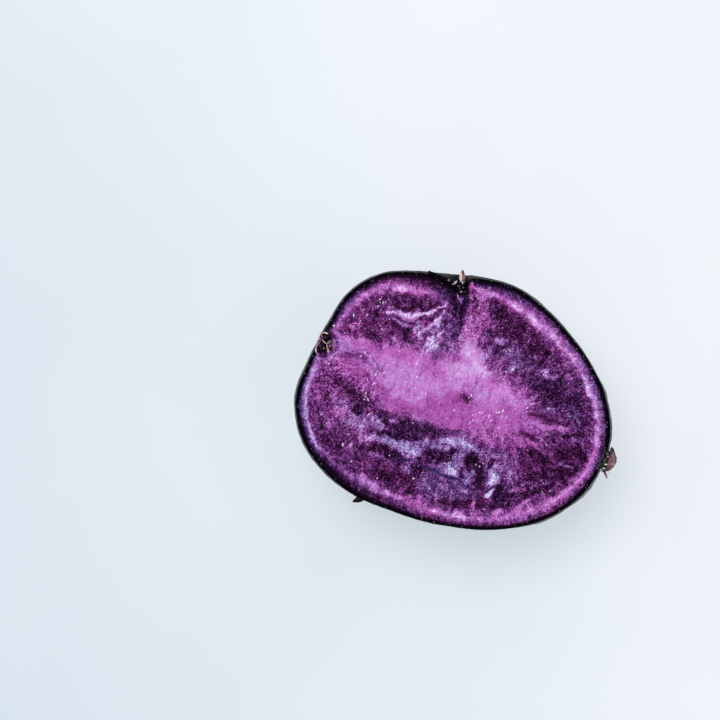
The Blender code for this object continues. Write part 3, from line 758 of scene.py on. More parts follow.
def timesPlus(tree, value, factor, rest=0.0, clamp=False):
    settings = {"operation": "MULTIPLY_ADD", "use_clamp": clamp}
    return addNode(tree, "Math", settings, in0=value, in1=factor, in2=rest)


def mixColours(tree, share, first, second, blend="MIX"):
    # Each side is a hex colour, four numbers or an output
    first, second = (linear(side) if isinstance(side, str) else side for side in (first, second))
    settings = {"data_type": "RGBA", "blend_type": blend}
    return addNode(tree, "Mix", settings, in0=share, in6=first, in7=second).outputs[2]


def marksOf(tree, output, *names):
    # The piece's own marks, as numbers (Fac) or vectors
    return [addNode(tree, "Attribute", {"attribute_name": name}).outputs[output] for name in names]


def objectPlace(tree):
    return addNode(tree, "TexCoord").outputs["Object"]


def fleshMaterial():
    material, tree = newMaterial("raw purple potato flesh, knife-cut and wet", 0.36, 1.36)
    light, cool, grain = marksOf(tree, "Fac", "light", "cool", "grain")
    ray, rimFlow = marksOf(tree, "Vector", "ray", "rimFlow")
    place = objectPlace(tree)
    # starchy cells, clumps of them, streaks along the rays, and finer ones across the ring
    cells = spreadNoise(tree, place, 1000 / flesh["cellSize"], 2.0, 0.6)
    clumps = spreadNoise(tree, place, 1000 / flesh["clumpSize"], 3.0, 0.7)
    streaks = spreadNoise(tree, ray, 1 / flesh["raySpacing"], 4.0, 0.7)
    fringe = spreadNoise(tree, rimFlow, 1.6, 3.0, 0.6)
    mottle = 0.0
    for source, share in zip((cells, clumps, streaks, fringe), flesh["grainShares"]):
        mottle = timesPlus(tree, source, share, mottle)
    # pale dots, single starch-filled cells, in some of the cells of a loose pattern
    dots = addNode(tree, "TexVoronoi", Vector=place, Scale=1000 / flesh["dotSpacing"], Randomness=1.0)
    dotMask = addNode(tree, "MapRange", Value=dots, From_Min=0.12, From_Max=0.26, To_Min=1.0, To_Max=0.0)
    chosen = addNode(tree, "SeparateColor", Color=dots.outputs["Color"])
    chosen = addNode(tree, "MapRange", Value=chosen, From_Min=0.45, From_Max=0.95, To_Max=flesh["dotLight"])
    mottle = timesPlus(tree, dotMask, chosen, mottle)
    tone = timesPlus(tree, mottle, grain, light)
    # cells differ in hue, and lighter ones are cooler
    hue = timesPlus(tree, spreadNoise(tree, place, 1400.0, 2.0, 0.6), 0.16, cool)
    hue = timesPlus(tree, mottle, 0.5, hue, True)
    warm, coolRamp = (addNode(tree, "ValToRGB", Fac=tone) for side in range(2))
    setStops(warm, flesh["warmStops"])
    setStops(coolRamp, flesh["coolStops"])
    colour = mixColours(tree, hue, warm.outputs[0], coolRamp.outputs[0])
    # the wet cut glistens unevenly
    gloss = addNode(tree, "MapRange", Value=cells, From_Min=-1.0, From_Max=1.0, To_Min=0.50, To_Max=0.28)
    fine = addNode(tree, "TexNoise", Vector=place, Scale=2600.0, Detail=2.0)
    bump = addNode(tree, "Bump", Strength=0.4, Distance=0.00008, Height=fine)
    setShader(tree, Base_Color=colour, Roughness=gloss, Normal=bump,
              Specular_IOR_Level=flesh["specularLevel"])
    return material


def makeFlesh():
    points, quads, triangles = fleshShape()
    count = flesh["grid"] ** 2
    x, y = points[:, 0], points[:, 1]
    (light, cool, grain), edge, rim = tissueMarks(x, y)
    onTop = np.arange(len(points)) < count
    # the cut is nearly flat: cells stand a few hundredths proud, the pith sinks and its hollow more
    relief = 0.03 * cloudNoise(points, 0.9, 2, 101) + 0.05 * cloudNoise(points, 5.0, 2, 111)
    relief = relief + 0.05 * np.exp(-((edge - 3.6) / 1.2) ** 2)
    relief = relief - flesh["hollowDepth"] * strokeMask(x, y, flesh["hollowPlaces"])
    relief = relief - 0.6 * strokeMask(x, y, flesh["sunkEye"], 3.0)
    inner = np.clip((edge - flesh["insideSkin"]) / 0.5, 0, 1)
    points[:, 2] += np.where(onTop, relief * inner, 0)
    rimFlow = np.stack([rim[:, 0], rim[:, 1], edge / 4], -1)
    marks = {"light": light, "cool": np.clip(cool, 0, 1), "grain": grain,
             "ray": rayPlaces(x, y), "rimFlow": rimFlow}
    makePiece("potato_flesh", (points, quads, triangles), fleshMaterial(), marks, 50)


# Skin: potato periderm, a thin cork layer, dry and matt. It is blackish violet with greyish scurf, a fine
# net, tan lenticels and darker eyes, and its cut edge is black. Stretches of raised scurf under the rim are
# painted pale grey as a highlight.
skin = {
    "columns": 512,
    "rows": 144,
    "innerRows": 24,
    "lipRows": 5,
    "thickness": 0.8,
    "lipStart": 0.16,          # the lip's rounding begins this far below the cut
    "lipRise": 0.24,
    # degrees round and down to each eye of the belly, its width in millimetres and its turn in degrees
    "eyes": (
        (15, 34, 8.4, 8),
        (318, 24, 7.6, -10),
        (287, 47, 8.8, 12),
        (232, 27, 7.8, -6),
        (196, 52, 7.2, 4),
        (128, 33, 8.6, -12),
        (62, 55, 8.0, 6),
        (352, 58, 7.0, -8),
    ),
    "eyeDepth": 1.35,
    "browHeight": 0.45,
    "lenticels": 240,
    "lenticelRadius": 0.42,
    "lenticelHeight": 0.10,
    "unevenness": 0.16,
    # centre angle and half width in degrees of each grey stretch under the rim, raised scurf painted pale
    # grey as a highlight, and its strength
    "rimScurfHighlight": (
        (130, 10, 0.3), (150, 12, 0.4), (172, 16, 0.5), (352, 10, 0.9), (3, 5, 0.8), (326, 9, 1.0),
        (308, 8, 0.6),
    ),
    "scurfHeight": 0.8,
    "blackViolet": "#09070d",
    "blueViolet": "#1c1634",
    "greyScurf": "#2e2b34",
    "brownScurf": "#33261d",
    # pale grey of the stretches under the rim, a painted highlight
    "rimHighlightGrey": "#b6bcc2",
    "lenticelTan": "#6f5b49",
    # black of the cut edge, also painted as shade down the cut eye's basin
    "cutEdgeAndShade": "#060408",
}


def surfaceFrame(angleDegrees, downDegrees, turnDegrees):
    # A spot of the skin with its outward normal, the way to the bud end, and the way across
    angle, down = math.radians(angleDegrees), math.radians(downDegrees)
    angles = np.array([angle, angle + 0.02, angle])
    downs = np.array([down, down, down + 0.02])
    here, roundWay, downWay = tuberSurface(angles, downs)
    normal = unit(np.cross(roundWay - here, downWay - here))
    normal = normal * np.sign(normal @ (here - [0, 0, 20.0]))
    budWay = unit(np.array([1.0, 0, 0]) - normal * normal[0])
    across = np.cross(normal, budWay)
    c, s = math.cos(math.radians(turnDegrees)), math.sin(math.radians(turnDegrees))
    return here, normal, budWay * c + across * s, across * c - budWay * s


def eyeRelief(points):
    # Each eye: a bowl, and on its stem side a curved brow; the brow is a bell curve along a bent line
    relief, shade = np.zeros(points.shape[:-1]), np.zeros(points.shape[:-1])
    for angle, down, width, turn in skin["eyes"]:
        here, normal, budWay, across = surfaceFrame(angle, down, turn)
        away = points - here
        near = np.exp(-(np.linalg.norm(away, axis=-1) / width) ** 4)
        a, b = away @ budWay, away @ across
        bowl = np.exp(-((a - 0.3) / (0.26 * width)) ** 2 - (b / (0.40 * width)) ** 2)
        brow = np.exp(-((a + 0.34 * width - 0.10 * b ** 2) / 0.75) ** 2 - (b / (0.48 * width)) ** 2)
        relief += near * (skin["browHeight"] * brow - skin["eyeDepth"] * bowl)
        shade = np.maximum(shade, near * bowl)
    return relief, shade


def lenticelRelief(points):
    # Small corky dots at even but jittered places: bell curves
    rng = np.random.default_rng(7)
    count = skin["lenticels"]
    step = np.arange(count) + rng.uniform(-0.4, 0.4, count)
    drop = np.arcsin(np.clip(1.18 * (step + 0.5) / count - 0.19, -1, 1))
    angle = step * 2.39996 + rng.normal(0, 0.1, count)
    centres = tuberSurface(angle, np.clip(drop, cutDown(0.8), 1.5))
    relief = np.zeros(points.shape[:-1])
    for centre, size in zip(centres, rng.uniform(0.5, 1.2, count)):
        square = ((points - centre) ** 2).sum(-1)
        relief = np.maximum(relief, size * np.exp(-square / (skin["lenticelRadius"] * size) ** 2))
    return relief


def skinShape():
    # Rings from the inner pole up the inner wall, over the rounded lip and down the outer wall
    columns = closeColumns(np.arange(skin["columns"]) / skin["columns"])
    v = np.linspace(0, 1, skin["rows"])[:, None]
    start = cutDown(skin["lipStart"])
    down = start + (math.radians(88.5) - start) * (0.7 * v + 0.3 * v ** 2)
    angle = columns[None] + 0 * down
    down = down + 0 * angle
    outer = tuberSurface(angle, down)
    away = directions(angle, down)
    below = tuber["thickness"] - outer[..., 2]
    eyes, eyeShade = eyeRelief(outer)
    dots = lenticelRelief(outer)
    uneven = skin["unevenness"] * cloudNoise(outer, 4.5, 3, 201) + 0.06 * cloudNoise(outer, 1.3, 2, 211)
    settled = 1 - np.exp(-below / 2.0)
    # grey stretches under the rim: a raised bulge of scurf, which the material paints pale grey as a
    # highlight
    scurf = 0 * angle
    for centre, half, strength in skin["rimScurfHighlight"]:
        aside = np.degrees(angleFrom(angle, centre))
        scurf = np.maximum(scurf, strength * np.exp(-(aside / half) ** 2))
    scurf = scurf * np.exp(-((below - 2.2) / 1.7) ** 2)
    relief = uneven * (0.35 + 0.65 * settled) + eyes * settled + skin["lenticelHeight"] * dots
    relief = relief + skin["scurfHeight"] * scurf
    outer = outer + away * relief[..., None]
    outer[..., 2] = np.maximum(outer[..., 2], 0)
    # the lip: half an oval from the outer wall over to the inner one, a little uneven
    s = np.linspace(0, 1, skin["lipRows"] + 2)[1:-1, None]
    topRing = outer[0]
    reach = np.hypot(topRing[:, 0], topRing[:, 1])
    thick = skin["thickness"] * (1 + 0.22 * cloudNoise(topRing, 1.4, 2, 221))
    rise = skin["lipRise"] * (1 + 0.35 * cloudNoise(topRing, 0.9, 2, 231))
    lipReach = reach[None] - thick[None] / 2 * (1 - np.cos(math.pi * s))
    lipTop = topRing[:, 2] + rise * np.sin(math.pi * s)
    lip = np.stack([lipReach * np.cos(columns), lipReach * np.sin(columns), lipTop], -1)
    innerV = np.linspace(0, 1, skin["innerRows"])[:, None]
    innerDown = cutDown(0.3) + (math.radians(86) - cutDown(0.3)) * innerV + 0 * columns[None]
    innerAngle = columns[None] + 0 * innerDown
    inner = tuberSurface(innerAngle, innerDown)
    inset = skin["thickness"] + fullInset(inner[..., 2:])
    inner = inner - inset * directions(innerAngle, innerDown)
    inner[..., 2] = np.maximum(inner[..., 2], flesh["bottom"] - 0.3)
    rings = np.concatenate([inner[::-1], lip[::-1], outer])
    # black at the cut edge, and black down the cut eye's basin as painted shade
    basin = np.exp(-((np.degrees(angleFrom(angle, tuber["notchAngle"])) - 2) / 26) ** 4 - (below / 5) ** 2)
    edge = np.maximum(np.exp(-below / 0.35), basin)
    wall = np.zeros((len(inner) + len(lip), len(columns)))
    named = (("edge", 1, edge), ("eyeShade", 0, eyeShade), ("dots", 0, dots), ("rimScurfHighlight", 0, scurf))
    marks = {name: np.append(np.concatenate([wall + onWall, values]), [0, 0])
             for name, onWall, values in named}
    return loft(rings), marks


def skinMaterial():
    material, tree = newMaterial("potato periderm, dry blackish violet cork", 0.55, 1.45)
    place = objectPlace(tree)
    edge, eyeShade, dots, rimScurfHighlight = marksOf(tree, "Fac", "edge", "eyeShade", "dots", "rimScurfHighlight")
    # broad violet and grey patches, 9 mm
    patches = addNode(tree, "TexNoise", Vector=place, Scale=110.0, Detail=4.0, Roughness=0.6, Distortion=0.4)
    violet = addNode(tree, "MapRange", Value=patches, From_Min=0.38, From_Max=0.62)
    # scurf: a fine broken film, 1 to 2 mm, grey in some places and brown in others
    scurf = addNode(tree, "TexNoise", Vector=place, Scale=700.0, Detail=5.0, Roughness=0.7)
    film = addNode(tree, "MapRange", Value=scurf, From_Min=0.52, From_Max=0.70, To_Max=0.75)
    where = addNode(tree, "TexNoise", Vector=place, Scale=60.0, Detail=2.0)
    brown = addNode(tree, "MapRange", Value=where, From_Min=0.42, From_Max=0.58)
    # pin-sized corky flecks besides the modelled lenticels
    flecks = addNode(tree, "TexVoronoi", Vector=place, Scale=420.0, Randomness=1.0)
    fleck = addNode(tree, "MapRange", Value=flecks, From_Min=0.08, From_Max=0.16, To_Min=0.6, To_Max=0.0)
    dot = addNode(tree, "MapRange", Value=dots, From_Min=0.45, From_Max=0.85, To_Max=0.7)
    corky = addNode(tree, "Math", {"operation": "MAXIMUM"}, in0=fleck, in1=dot)
    # grey scurf under the rim, painted pale as a highlight where the skin catches the light, broken by the
    # noise
    broken = addNode(tree, "MapRange", Value=scurf, From_Min=0.36, From_Max=0.60)
    paintedRimHighlight = addNode(tree, "Math", {"operation": "MULTIPLY"}, in0=rimScurfHighlight, in1=broken)
    colour = skin["blackViolet"]
    # the edge mark paints the cut edge black, and the cut eye's basin black as painted shade
    for share, paint in (
        (violet, skin["blueViolet"]), (film, mixColours(tree, brown, skin["greyScurf"],
         skin["brownScurf"])),
        (corky, skin["lenticelTan"]), (eyeShade, skin["cutEdgeAndShade"]), (paintedRimHighlight, skin["rimHighlightGrey"]),
        (edge, skin["cutEdgeAndShade"]),
    ):
        colour = mixColours(tree, share, colour, paint)
    shine = addNode(tree, "MapRange", Value=edge, To_Min=0.16, To_Max=0.01)
    dull = addNode(tree, "MapRange", Value=film, From_Max=0.75, To_Min=0.42, To_Max=0.72)
    # the net is a bump of cells about a millimetre wide over fine noise
    net = addNode(tree, "TexVoronoi", {"feature": "DISTANCE_TO_EDGE"}, Vector=place, Scale=900.0)
    net = addNode(tree, "MapRange", Value=net, From_Max=0.16)
    bump = addNode(tree, "Bump", Strength=0.55, Distance=0.00012, Height=timesPlus(tree, scurf, 1.6, net))
    setShader(tree, Base_Color=colour, Specular_IOR_Level=shine, Roughness=dull, Normal=bump)
    return material


def makeSkin():
    shape, marks = skinShape()
    makePiece("potato_skin", shape, skinMaterial(), marks)


# The pale bud in the cut eye: two dry scales side by side, papery, one white and one pinkish brown
cutBud = {
    "level": 32.5,
    "left": ((2.35, 33.7), (2.45, 37.2), 1.25),
    "right": ((2.95, 33.7), (2.80, 37.5), 1.15),
    "thickness": 1.15,
    # thin torn scraps beside and under the bud
    "shreds": (
        (((-0.5, 33.0, 33.5), (0.3, 33.4, 33.7), (0.9, 34.1, 33.6)), (0.15, 0.42, 0.15), 0.22),
        (((0.5, 33.2, 33.4), (0.8, 33.8, 33.7), (1.1, 34.2, 33.5)), (0.12, 0.30, 0.12), 0.10),
        (((2.5, 33.0, 33.3), (2.75, 33.5, 33.6), (2.6, 34.0, 33.5)), (0.20, 0.45, 0.25), 0.05),
        (((3.1, 33.3, 33.3), (3.2, 33.8, 33.5), (3.5, 34.1, 33.4)), (0.12, 0.28, 0.12), 0.15),
    ),
    "meeting": (2.72, 0.22),   # where the scales meet, and the half width of the dark line there
    "stops": (
        (0.0, "#e9e4e6"), (0.20, "#b9aeb8"), (0.40, "#a58a84"), (0.62, "#9a6244"), (0.80, "#6b3522"),
        (1.0, "#1d0f10"),
    ),
}


def tintedMaterial(name, stops, roughness, grainScale, bumpDepth, sheen=0.12):
    # Colour from the piece's own tone mark, broken up by noise of a given scale
    material, tree = newMaterial(name, roughness, 1.45)
    tone, = marksOf(tree, "Fac", "tone")
    noise = addNode(tree, "TexNoise", Vector=objectPlace(tree), Scale=grainScale, Detail=4.0, Roughness=0.65)
    spread = addNode(tree, "MapRange", {"clamp": False}, Value=noise, From_Min=0.3, From_Max=0.7,
                     To_Min=-0.16, To_Max=0.16)
    ramp = addNode(tree, "ValToRGB", Fac=timesPlus(tree, spread, 1.0, tone))
    setStops(ramp, stops)
    bump = addNode(tree, "Bump", Strength=0.6, Distance=bumpDepth, Height=noise)
    setShader(tree, Base_Color=ramp, Normal=bump, Specular_IOR_Level=sheen)
    return material


def makeCutBud():
    level = cutBud["level"]
    middle, halfWidth = cutBud["meeting"]
    shapes, tones = [], []
    for side, base in (("left", 0.04), ("right", 0.50)):
        (bx, by), (tx, ty), width = cutBud[side]
        leaf = leafShape((bx, by, level), (tx, ty, level + 0.35), (0, 0, 1), width, cutBud["thickness"],
                         0.02, 0.15, 20, 16)
        share = np.clip((leaf[0][:, 1] - by) / (ty - by), 0, 1)
        # darker where the two scales meet, browner at the tips and the base
        meet = np.exp(-((leaf[0][:, 0] - middle) / halfWidth) ** 2)
        shapes.append(leaf)
        tones.append(base + 0.30 * share ** 4 + 0.20 * np.exp(-(share / 0.14) ** 2) + 0.35 * meet)
    for n, (path, widths, tone) in enumerate(cutBud["shreds"]):
        shapes.append(ridgeShape(path, widths, 0.5, 5 + n, 14, 8))
        tones.append(tone)
    makeTinted("eye_bud", shapes, tones,
               "dormant potato bud, dry papery scale", cutBud["stops"], 0.5, 1500.0, 0.00006)


# Blackened tissue in the cut eye: crumbs of dry cork and decayed sprout, coal black with a few pale specks
crumbs = {
    "count": 190,
    "halfSizes": (0.18, 0.50),
    "slitStart": 30.8,
    "slitReach": 3.4,
    "stops": ((0.0, "#050406"), (0.45, "#120c12"), (0.7, "#33242c"), (0.85, "#7a6070"), (1.0, "#c3a9b8")),
}


def makeCrumbs():
    rng = np.random.default_rng(3)
    count = crumbs["count"]
    # most in the slit, the rest along the basin's slope on the stem side
    start = crumbs["slitStart"]
    y = start + crumbs["slitReach"] * rng.random(count) ** 0.9
    x = 2.1 + (0.5 + 0.62 * (y - start)) * rng.uniform(-1, 0.75, count)
    slope = rng.random(count) < 0.35
    away = rng.random(count)
    x = np.where(slope, -0.5 - 6.5 * away, x)
    y = np.where(slope, 33.0 + 3.0 * away ** 0.8 + rng.uniform(-0.2, 0.9, count), y)
    z = tuber["thickness"] - 0.3 - 0.45 * rng.random(count) - 0.9 * np.clip(y - 33, 0, 2) * ~slope
    size = rng.uniform(*crumbs["halfSizes"], count)
    halfSizes = np.stack([size * rng.uniform(0.7, 1.5, count), size, size * 0.6], -1)
    shape = scatter(np.stack([x, y, z], -1), halfSizes, rng.uniform(0, math.tau, count), 5, 8, 0.35, 9)
    tone = np.where(rng.random(count) < 0.07, rng.uniform(0.7, 1.0, count), rng.uniform(0.0, 0.5, count))
    makeTinted("eye_crumbs", [shape], [np.repeat(tone, len(shape[0]) // count)],
               "blackened eye tissue, crumbly cork", crumbs["stops"], 0.6, 1800.0, 0.0001, 0.02)


# Stolon scar: where the tuber hung on its stolon. Dry curled lips of papery cork round two black hollows
scar = {
    "ridges": (
        # path in millimetres, widths, flatness, tone
        (((-37.6, 19.2, 33.8), (-38.1, 18.2, 34.0), (-38.5, 17.1, 34.1), (-38.95, 15.9, 34.15),
          (-39.2, 14.9, 34.15)), (0.22, 0.40, 0.42, 0.55, 0.50), 0.7, 0.28),
        (((-39.2, 15.0, 34.15), (-39.2, 14.2, 34.15), (-38.9, 13.6, 34.1), (-38.3, 13.3, 33.9)),
         (0.46, 0.50, 0.38, 0.14), 0.6, 0.18),
        (((-37.7, 17.9, 33.5), (-38.0, 16.9, 33.7), (-38.5, 15.6, 33.6)), (0.14, 0.36, 0.16), 0.5, 0.44),
        (((-38.0, 19.0, 33.6), (-37.4, 19.2, 33.9), (-36.6, 19.4, 34.0), (-35.9, 19.1, 33.9),
          (-35.4, 18.7, 33.8)), (0.16, 0.26, 0.36, 0.34, 0.12), 0.6, 0.04),
        (((-37.6, 17.8, 33.6), (-37.2, 17.2, 33.7), (-36.7, 16.6, 33.8), (-36.2, 16.3, 33.8)),
         (0.10, 0.20, 0.22, 0.18), 0.7, 0.14),
        (((-36.3, 16.3, 33.8), (-35.8, 16.4, 33.9), (-35.2, 16.9, 33.9), (-34.5, 16.9, 33.8)),
         (0.30, 0.50, 0.60, 0.20), 0.5, 0.32),
        (((-36.1, 16.4, 33.9), (-36.0, 15.4, 34.0), (-35.8, 14.6, 34.0), (-35.7, 13.9, 34.0),
          (-35.3, 13.4, 33.9)), (0.30, 0.55, 0.60, 0.65, 0.25), 0.5, 0.24),
        (((-35.2, 16.6, 33.8), (-34.9, 15.4, 33.9), (-35.0, 13.8, 33.8)), (0.6, 1.2, 0.6), 0.22, 0.54),
        (((-34.4, 17.8, 34.0), (-33.9, 16.8, 34.15), (-33.8, 15.6, 34.2), (-34.1, 14.3, 34.1)),
         (0.6, 1.3, 1.4, 0.6), 0.28, 0.43),
        (((-36.6, 18.4, 33.2), (-36.4, 18.0, 33.3), (-36.0, 17.9, 33.2)), (0.10, 0.16, 0.10), 0.6, 0.30),
        (((-37.9, 14.8, 33.2), (-37.6, 14.5, 33.3), (-37.3, 14.0, 33.2)), (0.10, 0.18, 0.10), 0.6, 0.24),
        (((-36.9, 15.2, 33.2), (-37.0, 14.9, 33.3), (-36.9, 14.5, 33.2)), (0.08, 0.14, 0.08), 0.6, 0.20),
        (((-36.8, 13.0, 33.8), (-36.9, 12.6, 33.9), (-36.8, 12.2, 33.8)), (0.12, 0.30, 0.12), 0.6, 0.22),
        (((-37.7, 18.8, 33.6), (-37.3, 18.3, 33.7), (-37.1, 17.8, 33.6)), (0.12, 0.28, 0.12), 0.5, 0.40),
        (((-38.5, 18.0, 33.4), (-38.2, 17.4, 33.6), (-38.3, 16.8, 33.5)), (0.12, 0.26, 0.12), 0.5, 0.58),
    ),
    "crumbCount": 60,
    "crumbCentre": (-37.1, 16.1, 32.6),
    "crumbSpread": (0.75, 1.1, 2.1),
    "crumbHalfSizes": (0.2, 0.5),
    "stops": (
        (0.0, "#e2c9b8"), (0.18, "#b99daa"), (0.34, "#8f6d84"), (0.43, "#93609c"), (0.52, "#70375a"),
        (0.75, "#1c1019"), (1.0, "#050306"),
    ),
}


def makeScar():
    shapes = [ridgeShape(path, widths, flatness, 31 + n)
              for n, (path, widths, flatness, tone) in enumerate(scar["ridges"])]
    tones = [ridge[3] for ridge in scar["ridges"]]
    # dark crumbs heaped in the pit
    rng = np.random.default_rng(12)
    count = scar["crumbCount"]
    (x, y, z), (along, across, farthest) = scar["crumbCentre"], scar["crumbSpread"]
    turn, reach = rng.uniform(0, math.tau, count), farthest * np.sqrt(rng.random(count))
    z = z - 0.5 * rng.random(count) + 0.25 * reach
    centres = np.stack([x + along * reach * np.cos(turn), y + across * reach * np.sin(turn), z], -1)
    size = rng.uniform(*scar["crumbHalfSizes"], count)
    halfSizes = np.stack([size * 1.3, size, size * 0.7], -1)
    heap = scatter(centres, halfSizes, rng.uniform(0, math.tau, count), 5, 8, 0.3, 13)
    heapTones = np.repeat(rng.uniform(0.7, 1.0, count), len(heap[0]) // count)
    makeTinted("stem_scar", shapes + [heap], tones + [heapTones],
               "stolon scar, curled papery cork", scar["stops"], 0.65, 1500.0, 0.0001, 0.02)


# End bud: scale leaves of the tuber's tip, dry and dark, the outer one pinkish brown, with pale tips
endBud = {
    # path, widths, flatness, then tones from the first place to the last
    "scales": (
        (((44.0, -20.2, 32.4), (44.9, -19.3, 32.7), (45.6, -18.0, 32.9), (45.6, -16.2, 32.9),
          (45.6, -14.6, 32.7), (45.1, -13.1, 32.4)),
         (0.5, 1.0, 1.7, 1.6, 1.3, 0.4), 0.35, (0.60, 0.50, 0.34, 0.36, 0.60, 0.70)),
        (((43.9, -19.4, 33.0), (44.5, -18.2, 33.3), (44.9, -16.8, 33.3), (44.9, -15.4, 33.0)),
         (0.5, 1.0, 1.1, 0.4), 0.35, (0.55, 0.36, 0.40, 0.75)),
        (((43.6, -20.0, 30.5), (45.2, -18.6, 30.8), (45.9, -16.6, 31.0), (45.2, -14.2, 30.6)),
         (0.8, 2.2, 2.4, 0.8), 0.35, (0.80, 0.60, 0.55, 0.80)),
        (((43.4, -19.6, 28.8), (44.6, -18.0, 28.6), (44.9, -16.0, 28.7), (44.3, -14.0, 28.8)),
         (0.8, 2.0, 2.0, 0.8), 0.4, (0.85, 0.70, 0.66, 0.85)),
        (((43.2, -20.1, 32.7), (43.5, -20.8, 32.8), (43.8, -21.6, 32.8), (44.0, -22.3, 32.6)),
         (0.75, 0.70, 0.60, 0.25), 0.9, (0.66, 0.60, 0.36, 0.30)),
        (((42.0, -19.6, 33.2), (42.7, -19.9, 33.4), (43.4, -20.0, 33.3), (44.0, -19.8, 33.0)),
         (0.4, 0.9, 0.9, 0.4), 0.6, (0.90, 0.86, 0.80, 0.86)),
    ),
    # place, half size along and across, turn in degrees, tone
    "tips": (
        ((44.8, -13.4), (0.28, 0.18), 40, 0.03), ((43.7, -15.0), (0.26, 0.12), 10, 0.12),
        ((44.1, -16.0), (0.30, 0.16), 130, 0.10), ((43.6, -18.2), (0.48, 0.20), -12, 0.00),
        ((43.1, -19.3), (0.32, 0.20), -30, 0.02), ((42.2, -19.7), (0.25, 0.20), 0, 0.06),
        ((42.0, -18.3), (0.25, 0.14), 20, 0.20), ((44.4, -20.4), (0.22, 0.20), 0, 0.12),
        ((42.9, -17.0), (0.22, 0.12), 60, 0.16), ((43.4, -13.9), (0.16, 0.12), 0, 0.14),
    ),
    "crumbCount": 260,
    "crumbTurn": 339,          # degrees round to the bud's middle
    "crumbRadius": 45.4,
    "crumbHalfSizes": (0.22, 0.55),
    "stops": (
        (0.0, "#efe6c4"), (0.12, "#c3b096"), (0.28, "#9c7a88"), (0.42, "#7b5863"), (0.58, "#5c3f45"),
        (0.72, "#2c1d24"), (0.82, "#414d5b"), (1.0, "#0c0e13"),
    ),
}


def makeEndBud():
    shapes, tones = [], []
    steps = 26
    for n, (path, widths, flatness, pathTones) in enumerate(endBud["scales"]):
        leaf = ridgeShape(path, widths, flatness, 41 + n, steps, 14)
        line = smoothPath(path, steps)
        nearest = ((leaf[0][:, None] - line[None]) ** 2).sum(-1).argmin(1) / (steps - 1)
        aside = leaf[0][:, 0] - np.interp(nearest, np.linspace(0, 1, steps), line[:, 0])
        shapes.append(leaf)
        tone = np.interp(nearest, np.linspace(0, 1, len(pathTones)), pathTones)
        tones.append(tone - 0.5 * np.minimum(0, aside + 0.2))
    # crumbs on an oval mound round the scales' feet, some of them deeper down
    rng = np.random.default_rng(21)
    count = endBud["crumbCount"]
    across = rng.uniform(-3.3, 3.3, count)
    turn = math.radians(endBud["crumbTurn"])
    out = rng.uniform(-0.3, 1.9, count) * np.sqrt(np.maximum(0, 1 - (across / 3.5) ** 2)) - 0.2
    radius = endBud["crumbRadius"] + out
    x = radius * math.cos(turn) - across * math.sin(turn)
    y = radius * math.sin(turn) + across * math.cos(turn)
    z = 33.9 - 0.35 * rng.random(count) - 0.5 * np.abs(out)
    deep = rng.random(count) < 0.35
    z = np.where(deep, z - rng.uniform(1, 5, count), z)
    size = rng.uniform(*endBud["crumbHalfSizes"], count)
    halfSizes = np.stack([size * 1.2, size, size * 0.8], -1)
    heap = scatter(np.stack([x, y, z], -1), halfSizes, rng.uniform(0, math.tau, count), 5, 8, 0.35, 23)
    shapes.append(heap)
    tones.append(np.repeat(rng.uniform(0.74, 1.0, count), len(heap[0]) // count))
    places, sizes, turns, tipTones = zip(*endBud["tips"])
    centres = np.array([(px, py, 33.85) for px, py in places])
    halfSizes = np.array([(along, wide, 0.16) for along, wide in sizes])
    flecks = scatter(centres, halfSizes, np.radians(turns), 5, 8, 0.25, 25)
    shapes.append(flecks)
    tones.append(np.repeat(tipTones, len(flecks[0]) // len(tipTones)))
    makeTinted("end_bud", shapes, tones,
               "apical bud, dry brown scale leaf", endBud["stops"], 0.55, 1000.0, 0.0002)


# A torn tongue of skin on the lower left edge
flap = {
    "base": (-25.4, -27.6, 33.1),
    "tip": (-28.9, -28.9, 33.4),
    "width": 1.9,
    "thickness": 0.55,
    "tone": 0.4,
    "stops": ((0.0, "#1a1015"), (0.5, "#0d080c"), (1.0, "#050306")),
}


def makeFlap():
    leaf = leafShape(flap["base"], flap["tip"], (0, 0, 1), flap["width"], flap["thickness"],
                     curl=0.06, cup=0.3, blunt=0.62)
    makeTinted("skin_flap", [leaf], [flap["tone"]], "torn potato skin", flap["stops"], 0.5, 1500.0, 0.00006)


# Buds in the belly's eyes: three tiny scales on a low cushion in each
bellyBuds = {
    "stops": ((0.0, "#7c5f66"), (0.4, "#4a3340"), (0.7, "#22161f"), (1.0, "#0a070b")),
}


def makeBellyBuds():
    shapes, tones = [], []
    rng = np.random.default_rng(33)
    for angle, down, width, turn in skin["eyes"]:
        here, normal, budWay, across = surfaceFrame(angle, down, turn)
        seat = here - normal * (skin["eyeDepth"] * 0.95) + budWay * 0.3
        for side in (-1, 0, 1):
            base = seat + across * side * 0.13 * width - budWay * 0.5 - normal * 0.25
            tip = seat + across * side * 0.05 * width + budWay * 1.1 + normal * (0.95 + 0.2 * rng.random())
            shapes.append(leafShape(base, tip, normal, 1.5, 0.7, -0.05, 0.3, 12, 10))
            tones.append(rng.uniform(0.15, 0.65))
    makeTinted("belly_buds", shapes, tones,
               "dormant belly bud, dark scale", bellyBuds["stops"], 0.5, 1500.0, 0.00006)
